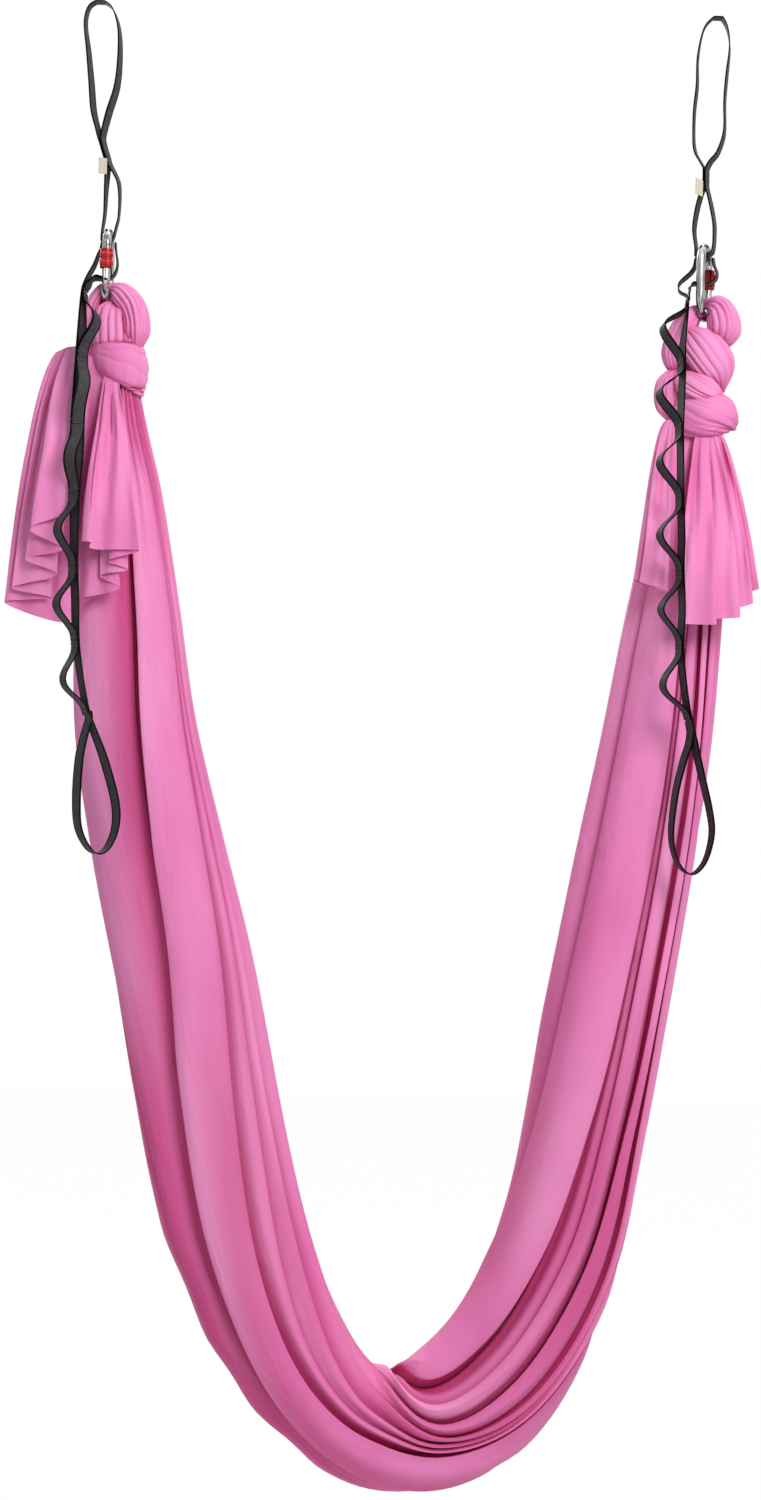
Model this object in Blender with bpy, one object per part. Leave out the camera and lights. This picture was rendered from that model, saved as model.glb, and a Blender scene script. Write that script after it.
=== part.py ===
"""Aerial yoga hammock: a gathered cloth sling, knotted at both ends to screw-gate carabiners, which
hang in the pockets of two daisy-chain straps. Metres, +Z up, X along the line through the two ceiling
hooks, -Y towards the viewer. The origin is the middle of that line, where the hooks bear."""

import math

import bpy
import bmesh
from mathutils import Matrix, Vector

MM = 0.001

# Straps
HOOK_SPACING = 0.864
WEBBING_WIDTH = 0.020
WEBBING_THICKNESS = 0.0018
SEWN_GAP = 0.0006
POCKET_PITCH = 0.100
FIRST_POCKET_DROP = 0.004
TACK_LENGTH = 0.012
CHAIN_POCKETS = 6
TAG_HEIGHT = 0.022
TAG_WIDTH = 0.012
TAG_THICKNESS = 0.0012

# Carabiners
SWING_DROP = 0.345
BAR_RADIUS = 0.006
BOW_RADIUS = 0.024
LEG_LENGTH = 0.050
NOSE_HEIGHT = 0.0026
NOSE_GAP = 0.0006
GATE_RADIUS = 0.0056
PIVOT_RADIUS = 0.0018
SPRING_BORE_RADIUS = 0.0032
SPRING_TURNS = 6
SPRING_WIRE_RADIUS = 0.00035
TONGUE_THICKNESS = 0.0044
SLEEVE_RADIUS = 0.0095
SLEEVE_LENGTH = 0.027
SLEEVE_WALL = 0.00195
SLEEVE_DROP = 0.0035
BUSH_LENGTH = 0.020
FIT_GAP = 0.00035

# Cloth
CLOTH_GAP = 0.0006
SLING_FOLDS = 12
SLING_STATIONS = 24
SLING_TWIST_DEG = 150.0
KNOT_PLEATS = 9

SIDES = {
    "left": {"hook": -0.5, "clip_x": -0.412, "clip_turn": -90.0},
    "right": {"hook": 0.5, "clip_x": 0.423, "clip_turn": 70.0},
}

# Routes are x from the strap's own hook, y, z and the turn of the webbing's width about Z, where 0 is
# edge-on to the viewer and 90 is flat to the viewer, all in millimetres and degrees.
LEFT_UPPER_ROUTE = [
    (10, 0, -334.0, 0), (10, 0, -328, 0), (10.5, 0, -320, 0), (13.5, 0, -296, 4), (14.5, 0, -262, 10),
    (15.6, 0, -238, 16), (16, 0, -226, 18), (13.2, 0, -216, 18), (10, 0, -206, 18), (6.8, 0, -196, 18),
    (4, 0, -188, 18), (1.2, 0, -178, 18), (-6, 0, -150, 20), (-10, 0, -111, 18), (-15, 0, -68, 14),
    (-20, 0, -30, 8), (-16, 0, -8, 3), (-6, 0, 0.9, 0), (-2, 0, 0.9, 0), (2, 0, 0.9, 0), (6, 0, 0.9, 0),
    (18, 0, -9, 3), (27, 0, -36, 8), (29, 0, -75, 14), (26, 0, -116, 18), (16, 0, -152, 20),
    (9.8, 0, -178, 18), (8.2, 0, -188, 18), (9.6, 0, -196, 18), (12.6, 0, -206, 18), (15.8, 0, -216, 18),
    (19.2, 0, -226, 18), (26, 0, -238, 16), (32, 0, -252, 10), (34, 0, -275, 4), (33, 0, -300, 0),
    (30, 0, -314, 0), (28.0, 0, -323, 0), (26.4, 0, -328.2, 0), (23.5, 0, -331.0, 0), (20, 0, -331.4, 0),
    (16, 0, -331.4, 0), (11.8, 0, -331.4, 0),
]
RIGHT_UPPER_ROUTE = [
    (-21.4, 0, -334.0, 20), (-21.4, 0, -329, 20), (-21.8, 0, -320, 20), (-25, 0, -296, 22),
    (-22, 0, -270, 24), (-17, 0, -248, 24), (-13, 0, -236, 24), (-12, 0, -226, 24), (-12, 0, -218, 24),
    (-12.8, 0, -210, 24), (-19, 0, -200, 22), (-26.5, 0, -186, 20), (-29, 0, -166, 16), (-29, 0, -130, 16),
    (-26, 0, -94, 16), (-26, 0, -55, 12), (-19, 0, -16, 5), (-6, 0, 0.9, 0), (-2, 0, 0.9, 0),
    (2, 0, 0.9, 0), (6, 0, 0.9, 0), (14, 0, -14, 4), (18, 0, -40, 10), (15, 0, -80, 16),
    (13, 0, -115, 16), (14, 0, -150, 16), (12, 0, -168, 18), (5, 0, -188, 20), (-4, 0, -200, 22),
    (-9.0, 0, -210, 24), (-9.2, 0, -218, 24), (-9.2, 0, -226, 24), (-8.6, 0, -236, 24), (-5.5, 0, -248, 24),
    (-1, 0, -266, 24), (3, 0, -288, 22), (3.5, 0, -308, 20), (2.8, 0, -320, 20), (0.5, -1.3, -327.4, 20),
    (-4.1, -1.2, -330.8, 20), (-9, 0, -331.6, 20), (-12.8, 1.4, -331.6, 20), (-17, 1.9, -331.6, 20),
]
LEFT_CLIP_LOAD_ROUTE = [
    (10, 0, -334.4, 0), (10, 0, -335.4, 0), (10, 0, -337, 0), (10, 0, -340, 0), (9, -0.5, -346, 0),
    (7, -2.5, -353, 2), (5, -6, -360, 4), (3, -10, -367.5, 4), (0, -15, -376, 4), (-3.5, -20.5, -385, 5),
    (-6.5, -25.5, -394, 6), (-8.4, -29.5, -402, 8), (-9, -31.6, -406.4, 10),
]
LEFT_CLIP_POCKET_ROUTE = [
    (30, 0, -334.4, 0), (30, 0, -335.4, 0), (30, 0, -337, 0), (30, 0, -340, 0), (30.6, 0, -346, 0),
    (31.6, 1, -353, 0), (32.5, 2.5, -360, 0), (32.5, 4, -367, 0), (31, 5, -374, 0), (28, 5.5, -380, 0),
    (22.5, 5, -384.5, 0), (15, 3, -386.3, 0), (8, -1, -387, 0), (3.5, -7.5, -388.5, 2),
    (1, -14, -391.5, 4), (-1, -20, -395.8, 6), (-3.2, -25.5, -400, 8),
]
RIGHT_CLIP_LOAD_ROUTE = [
    (-21.4, 0, -334.4, 20), (-21.4, 0, -335.4, 20), (-21.4, 0, -337, 20), (-21.4, 0, -340, 20),
    (-22.5, -0.5, -346, 20), (-25.5, -1.5, -353, 18), (-31, -3.5, -360, 16), (-38, -6, -366.5, 14),
    (-44, -9, -373, 10), (-46.5, -11.5, -380, 8), (-44.5, -13, -386, 6), (-38.5, -14, -389.6, 5),
    (-34.6, -14.8, -392, 4), (-33.6, -16, -395.8, 3),
]
RIGHT_CLIP_POCKET_ROUTE = [
    (3, 0, -334.4, 20), (3, 0, -335.4, 20), (3, 0, -337, 20), (3, 0, -340, 20), (4.5, 0, -346, 20),
    (7.5, -0.3, -353, 20), (7.4, -2.2, -360.4, 18), (3.4, -5.2, -367.8, 14), (-4.4, -7.2, -372.2, 8),
    (-10.9, -6.6, -373.2, 5), (-17.8, -5.7, -373.5, 4), (-25.5, -7.5, -374, 4), (-29, -10.8, -377.6, 4),
    (-30.3, -13, -383.8, 4), (-30.8, -14.5, -388.6, 4),
]
LEFT_CHAIN_ROUTE = [
    (-9, -32.3, -407.9, 10), (-9, -39, -422, 15), (-8, -50, -453, 27), (-7, -61, -494, 43),
    (-6, -76, -546, 65), (-6, -90, -595, 87), (-4, -106, -646, 110), (-4, -115, -697, 128),
    (-3, -120, -748, 138), (-2, -123, -796, 140), (1, -124, -843, 142), (3, -123, -894, 144),
    (9, -120, -940, 150), (18, -117, -987, 155), (24, -116, -1006, 155), (32, -114, -1026, 155),
    (45, -112, -1060, 155), (60, -110, -1112, 158), (62, -109, -1146, 162), (53, -108, -1174, 166),
    (39, -108, -1185, 168), (24, -108, -1177, 166), (11, -109, -1150, 162), (8, -110, -1110, 158),
    (9, -112, -1061, 155), (12, -114, -1036, 155), (16, -116, -1020, 155), (19.5, -118, -1010, 155),
]
RIGHT_CHAIN_ROUTE = [
    (-33.4, -16.6, -397.2, 3), (-34, -21.2, -411, 0), (-38, -31, -436, -9), (-42, -43, -467, -19),
    (-43, -57, -509, -26), (-45, -71, -552, -26), (-47, -85, -590, -26), (-47, -99, -638, -28),
    (-47, -109, -685, -28), (-45, -116, -734, -28), (-45, -118, -782, -28), (-42, -118, -835, -28),
    (-43, -117, -880, -28), (-39, -116, -923, -28), (-32, -114, -966, -26), (-23, -112, -1004, -24),
    (-11, -110, -1051, -22), (3, -108, -1105, -20), (7, -108, -1139, -16), (-2, -108, -1176, -12),
    (-20, -108, -1193, -10), (-39, -108, -1177, -12), (-48, -108, -1141, -16), (-44, -109, -1086, -20),
    (-36, -111, -1034, -24), (-30.5, -113, -1010, -24),
]
# How far each chain pocket stands off the load strand, from the top one down, in millimetres.
LEFT_BULGES = [22, 16, 17, 25, 27, 24]
RIGHT_BULGES = [30, 32, 30, 31, 30, 29]


def start_clean():
    for obj in list(bpy.data.objects):
        bpy.data.objects.remove(obj, do_unlink=True)


def material(name, colour, roughness, metallic=0.0):
    """A plain Principled material."""
    made = bpy.data.materials.get(name)
    if made:
        return made
    made = bpy.data.materials.new(name)
    made.use_nodes = True
    shader = made.node_tree.nodes["Principled BSDF"]
    shader.inputs["Base Color"].default_value = (*colour, 1.0)
    shader.inputs["Roughness"].default_value = roughness
    shader.inputs["Metallic"].default_value = metallic
    return made


def webbing_black():
    return material("nylon_webbing", (0.018, 0.018, 0.02), 0.55)


def pink_tricot():
    return material("pink_tricot", (0.86, 0.2, 0.46), 0.6)


def polished_steel():
    return material("polished_steel", (0.78, 0.78, 0.77), 0.15, 1.0)


def red_anodised():
    return material("red_anodised", (0.6, 0.008, 0.015), 0.3, 0.7)


def tag_cloth():
    return material("tag_cloth", (0.78, 0.74, 0.64), 0.8)


def node(name, bm, finish, sharp_deg=35.0):
    """Makes the object of one piece from its bmesh."""
    bmesh.ops.recalc_face_normals(bm, faces=bm.faces)
    if bm.calc_volume(signed=True) < 0:
        bmesh.ops.reverse_faces(bm, faces=bm.faces)
    mesh = bpy.data.meshes.new(name)
    bm.to_mesh(mesh)
    bm.free()
    mesh.shade_smooth()
    mesh.set_sharp_from_angle(angle=math.radians(sharp_deg))
    mesh.materials.append(finish)
    obj = bpy.data.objects.new(name, mesh)
    bpy.context.scene.collection.objects.link(obj)
    return obj


def loft(rings, closed=False):
    """A closed skin over rings of equal length. The ends get caps, or the last ring joins the first."""
    bm = bmesh.new()
    verts = [[bm.verts.new(p) for p in ring] for ring in rings]
    spans = list(zip(verts, verts[1:])) + ([(verts[-1], verts[0])] if closed else [])
    for low, high in spans:
        for i in range(len(low)):
            j = (i + 1) % len(low)
            bm.faces.new((low[i], low[j], high[j], high[i]))
    if not closed:
        for end in (0, -1):
            ring = verts[end]
            if len(ring) == 4:
                bm.faces.new(ring)
                continue
            hub = bm.verts.new(sum((v.co for v in ring), Vector()) / len(ring))
            for i in range(len(ring)):
                bm.faces.new((ring[i], ring[(i + 1) % len(ring)], hub))
    return bm


def boolean(obj, cutter, operation="DIFFERENCE"):
    """Cuts obj with cutter or fuses them, and keeps the result as obj's mesh."""
    change = obj.modifiers.new("shape", "BOOLEAN")
    change.operation = operation
    change.solver = "EXACT"
    change.object = cutter
    graph = bpy.context.evaluated_depsgraph_get()
    graph.update()
    result = bpy.data.meshes.new_from_object(obj.evaluated_get(graph))
    obj.modifiers.remove(change)
    old = obj.data
    obj.data = result
    result.name = obj.name
    bpy.data.meshes.remove(old)
    bpy.data.objects.remove(cutter, do_unlink=True)
    return obj


def weld(obj, distance=0.00002):
    """Merges the doubled points that a cut leaves."""
    bm = bmesh.new()
    bm.from_mesh(obj.data)
    bmesh.ops.remove_doubles(bm, verts=bm.verts, dist=distance)
    bmesh.ops.dissolve_degenerate(bm, dist=distance, edges=bm.edges)
    bm.to_mesh(obj.data)
    bm.free()
    return obj


def spline(points, steps):
    """Catmull-Rom through tuples of any length, with the given steps in each span."""
    count = len(points)
    out = []
    for k in range(count - 1):
        a, b, c, d = (points[max(0, min(count - 1, k + n))] for n in (-1, 0, 1, 2))
        for s in range(steps):
            t = s / steps
            out.append(tuple(
                0.5 * (2 * q + (r - p) * t + (2 * p - 5 * q + 4 * r - w) * t * t
                       + (3 * q - p - 3 * r + w) * t ** 3)
                for p, q, r, w in zip(a, b, c, d)
            ))
    out.append(tuple(float(v) for v in points[-1]))
    return out


def smooth_step(t):
    t = max(0.0, min(1.0, t))
    return t * t * (3 - 2 * t)


def frames(points):
    """Adds the face direction to (middle, wanted width direction) pairs along a strip of webbing."""
    out = []
    for i, (middle, wanted) in enumerate(points):
        ahead = (points[min(i + 1, len(points) - 1)][0] - points[max(i - 1, 0)][0]).normalized()
        across = (wanted - ahead * wanted.dot(ahead)).normalized()
        out.append((middle, across, across.cross(ahead).normalized()))
    return out


def strip(side, route, steps=2):
    """The middle, width direction and face direction along a route."""
    hook = SIDES[side]["hook"] * HOOK_SPACING
    points = []
    for x, y, z, turn in spline(route, steps):
        turn = math.radians(turn)
        middle = Vector((hook + x * MM, y * MM, min(z * MM, WEBBING_THICKNESS / 2)))
        points.append((middle, Vector((math.sin(turn), math.cos(turn), 0))))
    return frames(points)


def lengths(rows):
    run = [0.0]
    for a, b in zip(rows, rows[1:]):
        run.append(run[-1] + (b[0] - a[0]).length)
    return run


def at(rows, run):
    """The middle, width and face directions at a length along a strip."""
    marks = lengths(rows)
    run = max(0.0, min(marks[-1], run))
    k = max(i for i, m in enumerate(marks[:-1]) if m <= run)
    t = (run - marks[k]) / (marks[k + 1] - marks[k])
    middle, across, face = (rows[k][n].lerp(rows[k + 1][n], t) for n in range(3))
    return middle, across.normalized(), face.normalized()


def webbing(rows, half_widths=None):
    """A closed strip of webbing."""
    rings = []
    for i, (middle, across, face) in enumerate(rows):
        half = half_widths[i] if half_widths else WEBBING_WIDTH / 2
        a, f = across * half, face * WEBBING_THICKNESS / 2
        rings.append([middle + a + f, middle - a + f, middle - a - f, middle + a - f])
    return loft(rings)


def round_topped(rows):
    """Half-widths that round a strip's top end about the swing line, so that it clears when it rocks."""
    reach = WEBBING_WIDTH / 2 + 0.0007
    out = []
    for middle, _, _ in rows:
        up = max(middle.z + SWING_DROP, 0.0)
        out.append(min(WEBBING_WIDTH / 2, math.sqrt(max(reach ** 2 - up ** 2, 0.0015 ** 2))))
    return out


def clip_strands(side, load_route, pocket_route):
    """Pocket 2, whose load strand passes beside the carabiner and whose pocket strand goes through it."""
    load = strip(side, load_route, 1)
    node(f"{side}_clip_load_strand", webbing(load, round_topped(load)), webbing_black())
    end = lengths(load)[-1]
    pocket = [(middle, across) for middle, across, _ in strip(side, pocket_route, 1)]
    for back, lift in ((0.0035, 0.0010), (0.0, 0.0005)):
        middle, across, face = at(load, end - back)
        lift += WEBBING_THICKNESS + SEWN_GAP
        pocket.append((middle - face * lift, across))
    pocket = frames(pocket)
    node(f"{side}_clip_pocket_strand", webbing(pocket, round_topped(pocket)), webbing_black())


def chain_tail(side, route, bulges, sewn_side):
    """The load strand with its end loop, and one pocket strip for each pocket sewn to it."""
    drawn = strip(side, route, 3)
    steps = 12
    count = len(bulges) * steps
    stations = [FIRST_POCKET_DROP + POCKET_PITCH * k / steps for k in range(count + 1)]
    points = [at(drawn, run)[:2] for run in (0.0, *stations)]
    marks = lengths(drawn)
    points += [row[:2] for row, run in zip(drawn, marks) if run > stations[-1] + 0.004]
    load = frames(points)
    node(f"{side}_chain_strap", webbing(load), webbing_black())
    marks = lengths(load)
    for n, bulge in enumerate(bulges):
        pocket = []
        for k in range(steps + 1):
            run = marks[1 + n * steps + k]
            run += 0.0004 if k == 0 else -0.0004 if k == steps else 0.0
            inside = (POCKET_PITCH * k / steps - TACK_LENGTH / 2) / (POCKET_PITCH - TACK_LENGTH)
            swell = math.sin(math.pi * max(0.0, min(1.0, inside))) ** 2
            middle, across, face = at(load, run)
            lift = WEBBING_THICKNESS + SEWN_GAP + bulge * MM * swell
            pocket.append((middle + face * sewn_side * lift, across))
        node(f"{side}_chain_pocket_{n + 3}", webbing(frames(pocket)), webbing_black())


def upper_strap(side, route):
    """The top loop and pocket 1, in one stretch from the tack under the carabiner's bow and back to it."""
    node(f"{side}_upper_strap", webbing(strip(side, route)), webbing_black())


def tag(side, route, height):
    """The folded label sewn in under the top loop's tack. It is bare."""
    middle, across, face = min(strip(side, route)[:24], key=lambda row: abs(row[0].z - height))
    start = middle - across * (WEBBING_WIDTH / 2 + 0.0009) + face * 0.003
    out = (-across * 0.75 - face * 0.66) * TAG_WIDTH
    thick = out.cross(Vector((0, 0, 1))).normalized() * TAG_THICKNESS / 2
    rings = []
    for end in (-0.5, 0.5):
        mid = start + Vector((0, 0, TAG_HEIGHT * end))
        rings.append([mid + thick, mid + out + thick, mid + out - thick, mid - thick])
    node(f"{side}_tag", loft(rings), tag_cloth())


def clip_matrix(side):
    """Carabiner space: X from spine to gate, Y along the hinge pin, Z up, origin on the swing line."""
    place = SIDES[side]
    turn = Matrix.Rotation(math.radians(place["clip_turn"]), 4, "Z")
    return Matrix.Translation((place["clip_x"], 0, -SWING_DROP)) @ turn


def circle(centre, normal_x, normal_y, radius, sides, start=0.0):
    """A ring of points round centre in the plane of two unit directions."""
    return [
        centre + normal_x * (radius * math.cos(start + math.tau * k / sides))
        + normal_y * (radius * math.sin(start + math.tau * k / sides))
        for k in range(sides)
    ]


def tube(path, radius, sides):
    """A round bar along a flat path in the X-Z plane, cut level at its first end."""
    rings = []
    for i, point in enumerate(path):
        ahead = (path[min(i + 1, len(path) - 1)] - path[max(i - 1, 0)]).normalized()
        if i == 0:
            ahead = Vector((0, 0, 1 if ahead.z > 0 else -1))
        side = Vector((0, 1, 0))
        rings.append(circle(point, side, side.cross(ahead), radius, sides))
    return loft(rings)


def body_path():
    """The middle line of the bent bar, from the nose over the top bow, down the spine, to the hinge."""
    path = [Vector((BOW_RADIUS, 0, NOSE_HEIGHT))]
    path += [
        Vector((BOW_RADIUS * math.cos(a), 0, BOW_RADIUS * math.sin(a)))
        for a in (math.radians(16 + 164 * k / 12) for k in range(13))
    ]
    path += [
        Vector((BOW_RADIUS * math.cos(a), 0, BOW_RADIUS * math.sin(a) - LEG_LENGTH))
        for a in (math.radians(180 + 164 * k / 12) for k in range(13))
    ]
    return path


def box(low, high):
    """A cuboid between two corners."""
    bm = bmesh.new()
    bmesh.ops.create_cube(bm, size=1.0)
    low, high = Vector(low), Vector(high)
    bmesh.ops.scale(bm, vec=high - low, verts=bm.verts)
    bmesh.ops.translate(bm, vec=(low + high) / 2, verts=bm.verts)
    return bm


def rod(start, end, radius, sides=12):
    """A plain cylinder between two points."""
    start, end = Vector(start), Vector(end)
    ahead = (end - start).normalized()
    side = ahead.orthogonal().normalized()
    return loft([circle(p, side, ahead.cross(side), radius, sides) for p in (start, end)])


def cutter(bm):
    return node("cutter", bm, polished_steel())


def turned(profile, axis_x, sides):
    """A ring turned about the line x = axis_x, from a closed profile of (radius, z)."""
    rings = []
    for k in range(sides):
        a = math.tau * k / sides
        rings.append([Vector((axis_x + r * math.cos(a), r * math.sin(a), z)) for r, z in profile])
    return loft(rings, closed=True)


def put(obj, side):
    """Moves a carabiner piece from carabiner space into place."""
    obj.data.transform(clip_matrix(side))
    return obj


def carabiner_body(side):
    """The bent bar with the nose's key at one end and the hinge tongue at the other."""
    pivot = Vector((BOW_RADIUS, 0, -LEG_LENGTH))
    obj = node(f"{side}_carabiner_body", tube(body_path(), BAR_RADIUS, 12), polished_steel())
    key = box((BOW_RADIUS - 0.0035, -0.0016, -0.0024), (BOW_RADIUS + 0.0035, 0.0016, NOSE_HEIGHT + 0.002))
    boolean(obj, cutter(key), "UNION")
    half = TONGUE_THICKNESS / 2
    disc = rod(pivot - Vector((0, half, 0)), pivot + Vector((0, half, 0)), 0.0048, 16)
    boolean(obj, cutter(disc), "UNION")
    neck = box((pivot.x - 0.0046, -half, pivot.z - 0.0085), (pivot.x + 0.0040, half, pivot.z - 0.001))
    boolean(obj, cutter(neck), "UNION")
    hole = rod(pivot - Vector((0, 0.02, 0)), pivot + Vector((0, 0.02, 0)), PIVOT_RADIUS + FIT_GAP, 12)
    boolean(obj, cutter(hole))
    put(weld(obj), side)


def gate(side):
    """The gate: a round bar with a slot for the nose's key, a bore for the spring and a forked foot."""
    x = BOW_RADIUS
    top = NOSE_HEIGHT - NOSE_GAP
    foot = -LEG_LENGTH
    r = GATE_RADIUS
    outline = [
        (0.45 * r, foot - 0.88 * r), (0.8 * r, foot - 0.58 * r), (r, foot), (r, top - 0.0006), (r - 0.0006, top),
    ]
    rings = [
        circle(Vector((x, 0, z)), Vector((1, 0, 0)), Vector((0, 1, 0)), radius, 16) for radius, z in outline
    ]
    obj = node(f"{side}_gate", loft(rings), polished_steel())
    far = 0.02
    boolean(obj, cutter(box((x - far, -0.0021, top - 0.0056), (x + far, 0.0021, top + far))))
    half_slot = TONGUE_THICKNESS / 2 + FIT_GAP
    boolean(obj, cutter(box((x - far, -half_slot, foot - far), (x + far, half_slot, foot + 0.0055))))
    boolean(obj, cutter(rod((x, 0, foot), (x, 0, foot + 0.030), SPRING_BORE_RADIUS, 12)))
    hole = rod((x, -far, foot), (x, far, foot), PIVOT_RADIUS + FIT_GAP, 12)
    boolean(obj, cutter(hole))
    put(weld(obj), side)


def gate_inside(side):
    """The hinge pin, the plunger that bears on the tongue, and the return spring behind it."""
    x = BOW_RADIUS
    foot = -LEG_LENGTH
    pin = rod((x, -0.0052, foot), (x, 0.0052, foot), PIVOT_RADIUS, 12)
    put(node(f"{side}_gate_pin", pin, polished_steel()), side)
    tip = foot + 0.0048 + FIT_GAP
    top = tip + 0.007
    radius = SPRING_BORE_RADIUS - FIT_GAP - 0.0001
    outline = [(0.4 * radius, tip), (radius, tip + 0.0015), (radius, top)]
    rings = [
        circle(Vector((x, 0, z)), Vector((1, 0, 0)), Vector((0, 1, 0)), r, 12) for r, z in outline
    ]
    put(node(f"{side}_gate_plunger", loft(rings), polished_steel()), side)
    low = top + SPRING_WIRE_RADIUS + FIT_GAP
    high = foot + 0.030 - SPRING_WIRE_RADIUS - FIT_GAP
    coil = SPRING_BORE_RADIUS - FIT_GAP - SPRING_WIRE_RADIUS
    put(node(f"{side}_gate_spring", coil_spring(x, low, high, coil), polished_steel()), side)


def coil_spring(x, low, high, coil):
    """An open coil of round wire, drawn with four-sided wire."""
    steps = 10
    rings = []
    for k in range(SPRING_TURNS * steps + 1):
        a = math.tau * k / steps
        out = Vector((math.cos(a), math.sin(a), 0))
        centre = Vector((x, 0, low + (high - low) * k / (SPRING_TURNS * steps))) + out * coil
        rings.append(circle(centre, out, Vector((0, 0, 1)), SPRING_WIRE_RADIUS, 4))
    return loft(rings)


def sleeve(side):
    """The threaded bush and the grooved grip sleeve pressed over it."""
    x = BOW_RADIUS
    bush_in = GATE_RADIUS + FIT_GAP
    bore = SLEEVE_RADIUS - SLEEVE_WALL
    bush_out = bore - FIT_GAP
    top = NOSE_HEIGHT - NOSE_GAP - SLEEVE_DROP - 0.0045
    bush = [(bush_in, top), (bush_out, top), (bush_out, top - BUSH_LENGTH), (bush_in, top - BUSH_LENGTH)]
    put(node(f"{side}_sleeve_bush", turned(bush, x, 18), polished_steel()), side)
    high = -SLEEVE_DROP
    low = high - SLEEVE_LENGTH
    middle = (high + low) / 2
    r = SLEEVE_RADIUS
    grip = [
        (bore, high), (r - 0.0012, high), (r - 0.0006, high - 0.001), (r - 0.0006, high - 0.003),
        (r, high - 0.0036), (r, middle + 0.0016), (r - 0.0011, middle + 0.0008),
        (r - 0.0011, middle - 0.0008), (r, middle - 0.0016), (r, low + 0.0036),
        (r - 0.0006, low + 0.003), (r - 0.0006, low + 0.001), (r - 0.0012, low), (bore, low),
    ]
    put(node(f"{side}_screw_sleeve", turned(grip, x, 24), red_anodised()), side)


def carabiner(side):
    carabiner_body(side)
    gate(side)
    gate_inside(side)
    sleeve(side)


def bow_cutter(side, clearance):
    """The lower bow of the carabiner with a clearance, to open the cloth that goes round it."""
    path = [
        Vector((BOW_RADIUS * math.cos(a), 0, BOW_RADIUS * math.sin(a) - LEG_LENGTH))
        for a in (math.radians(168 + 204 * k / 14) for k in range(15))
    ]
    path = [path[0] + Vector((0, 0, 0.012)), *path, path[-1] + Vector((0, 0, 0.012))]
    bm = tube(path, BAR_RADIUS + clearance, 12)
    bm.transform(clip_matrix(side))
    return cutter(bm)


def pleated_ring(centre, half_x, half_y, count, pleats, depth, turn, tilt=0.0):
    """A ring of cloth round centre in a level or tilted plane, with pleats round it."""
    ring = []
    for k in range(count):
        a = math.tau * k / count
        pleat = 1.0 - depth * (0.5 - 0.5 * math.cos(pleats * (a + turn)))
        x, y = half_x * pleat * math.cos(a), half_y * pleat * math.sin(a)
        ring.append(centre + Vector((x * math.cos(tilt), y, x * math.sin(tilt))))
    return ring


def lobe(name, levels, pleats=KNOT_PLEATS, depth=0.1, turn_per_level=0.12, grow=0.0, sides=24):
    """A swollen bundle of gathered cloth from (x, y, z, half x, half y, tilt) levels, in millimetres."""
    rings = []
    for i, (x, y, z, half_x, half_y, tilt) in enumerate(levels):
        rings.append(pleated_ring(
            Vector((x, y, z)) * MM, half_x * MM + grow, half_y * MM + grow, sides, pleats, depth,
            i * turn_per_level, math.radians(tilt),
        ))
    if grow:
        rings = [[p + Vector((0, 0, grow)) for p in rings[0]], *rings[1:-1], [p - Vector((0, 0, grow)) for p in rings[-1]]]
    return node(name, loft(rings), pink_tricot(), 60.0)


# Knot levels run from the top down: x, y, z, half-width, half-depth, all in millimetres, and tilt.
LEFT_BIGHT = [
    (-403, 0, -391, 8, 6, 0), (-402, 0, -396, 20, 12, 0), (-401, 0, -404, 31, 16, 0), (-400, 0, -413, 39, 24, 0),
    (-399, 0, -426, 44, 31, 0), (-399, 0, -444, 46, 34, 0), (-399, 0, -464, 44, 34, -4),
    (-398, 0, -482, 38, 33, -9),
]
LEFT_WRAP = [
    (-396, 0, -486, 33, 30, -12), (-394, 0, -491, 40, 38, -12), (-393, 0, -499, 42, 41, -13),
    (-392, 0, -506, 39, 39, -14), (-392, 0, -514, 42, 41, -14), (-391, 0, -523, 40, 39, -15),
    (-389, 0, -531, 37, 36, -16), (-387, 0, -538, 30, 30, -16),
]
RIGHT_BIGHT = [
    (429, 0, -384, 8, 7, 0), (431, 0, -390, 19, 13, 0), (434, 0, -399, 29, 17, 0), (436, 0, -410, 36, 25, 0),
    (438, 0, -424, 38, 31, 0), (438, 0, -438, 37, 33, 0), (437, 0, -450, 33, 31, 4), (436, 0, -459, 28, 27, 6),
]
RIGHT_MIDDLE = [
    (435, 0, -461, 27, 26, 6), (434, 0, -468, 34, 33, 8), (434, 0, -480, 37, 36, 10), (435, 0, -493, 36, 35, 12),
    (437, 0, -507, 32, 32, 10), (438, 0, -518, 27, 28, 6), (438, 0, -526, 25, 26, 2),
]
RIGHT_WRAP = [
    (438, 0, -528.5, 25, 26, 2), (438, 0, -534, 34, 34, 4), (438, 0, -546, 39, 38, 6), (438, 0, -556, 37, 36, 6),
    (438, 0, -567, 40, 38, 6), (437, 0, -579, 37, 36, 4), (434, 0, -589, 30, 30, 2), (431, 0, -595, 25, 24, 0),
]
RIGHT_SIDE = [
    (385, 6, -466, 6, 8, 0), (382, 6, -472, 14, 18, 0), (380, 6, -486, 19, 24, 0), (379, 6, -503, 18, 23, 0),
    (380, 6, -520, 20, 25, 0), (383, 6, -536, 16, 20, 0), (385, 6, -545, 7, 9, 0),
]


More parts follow.
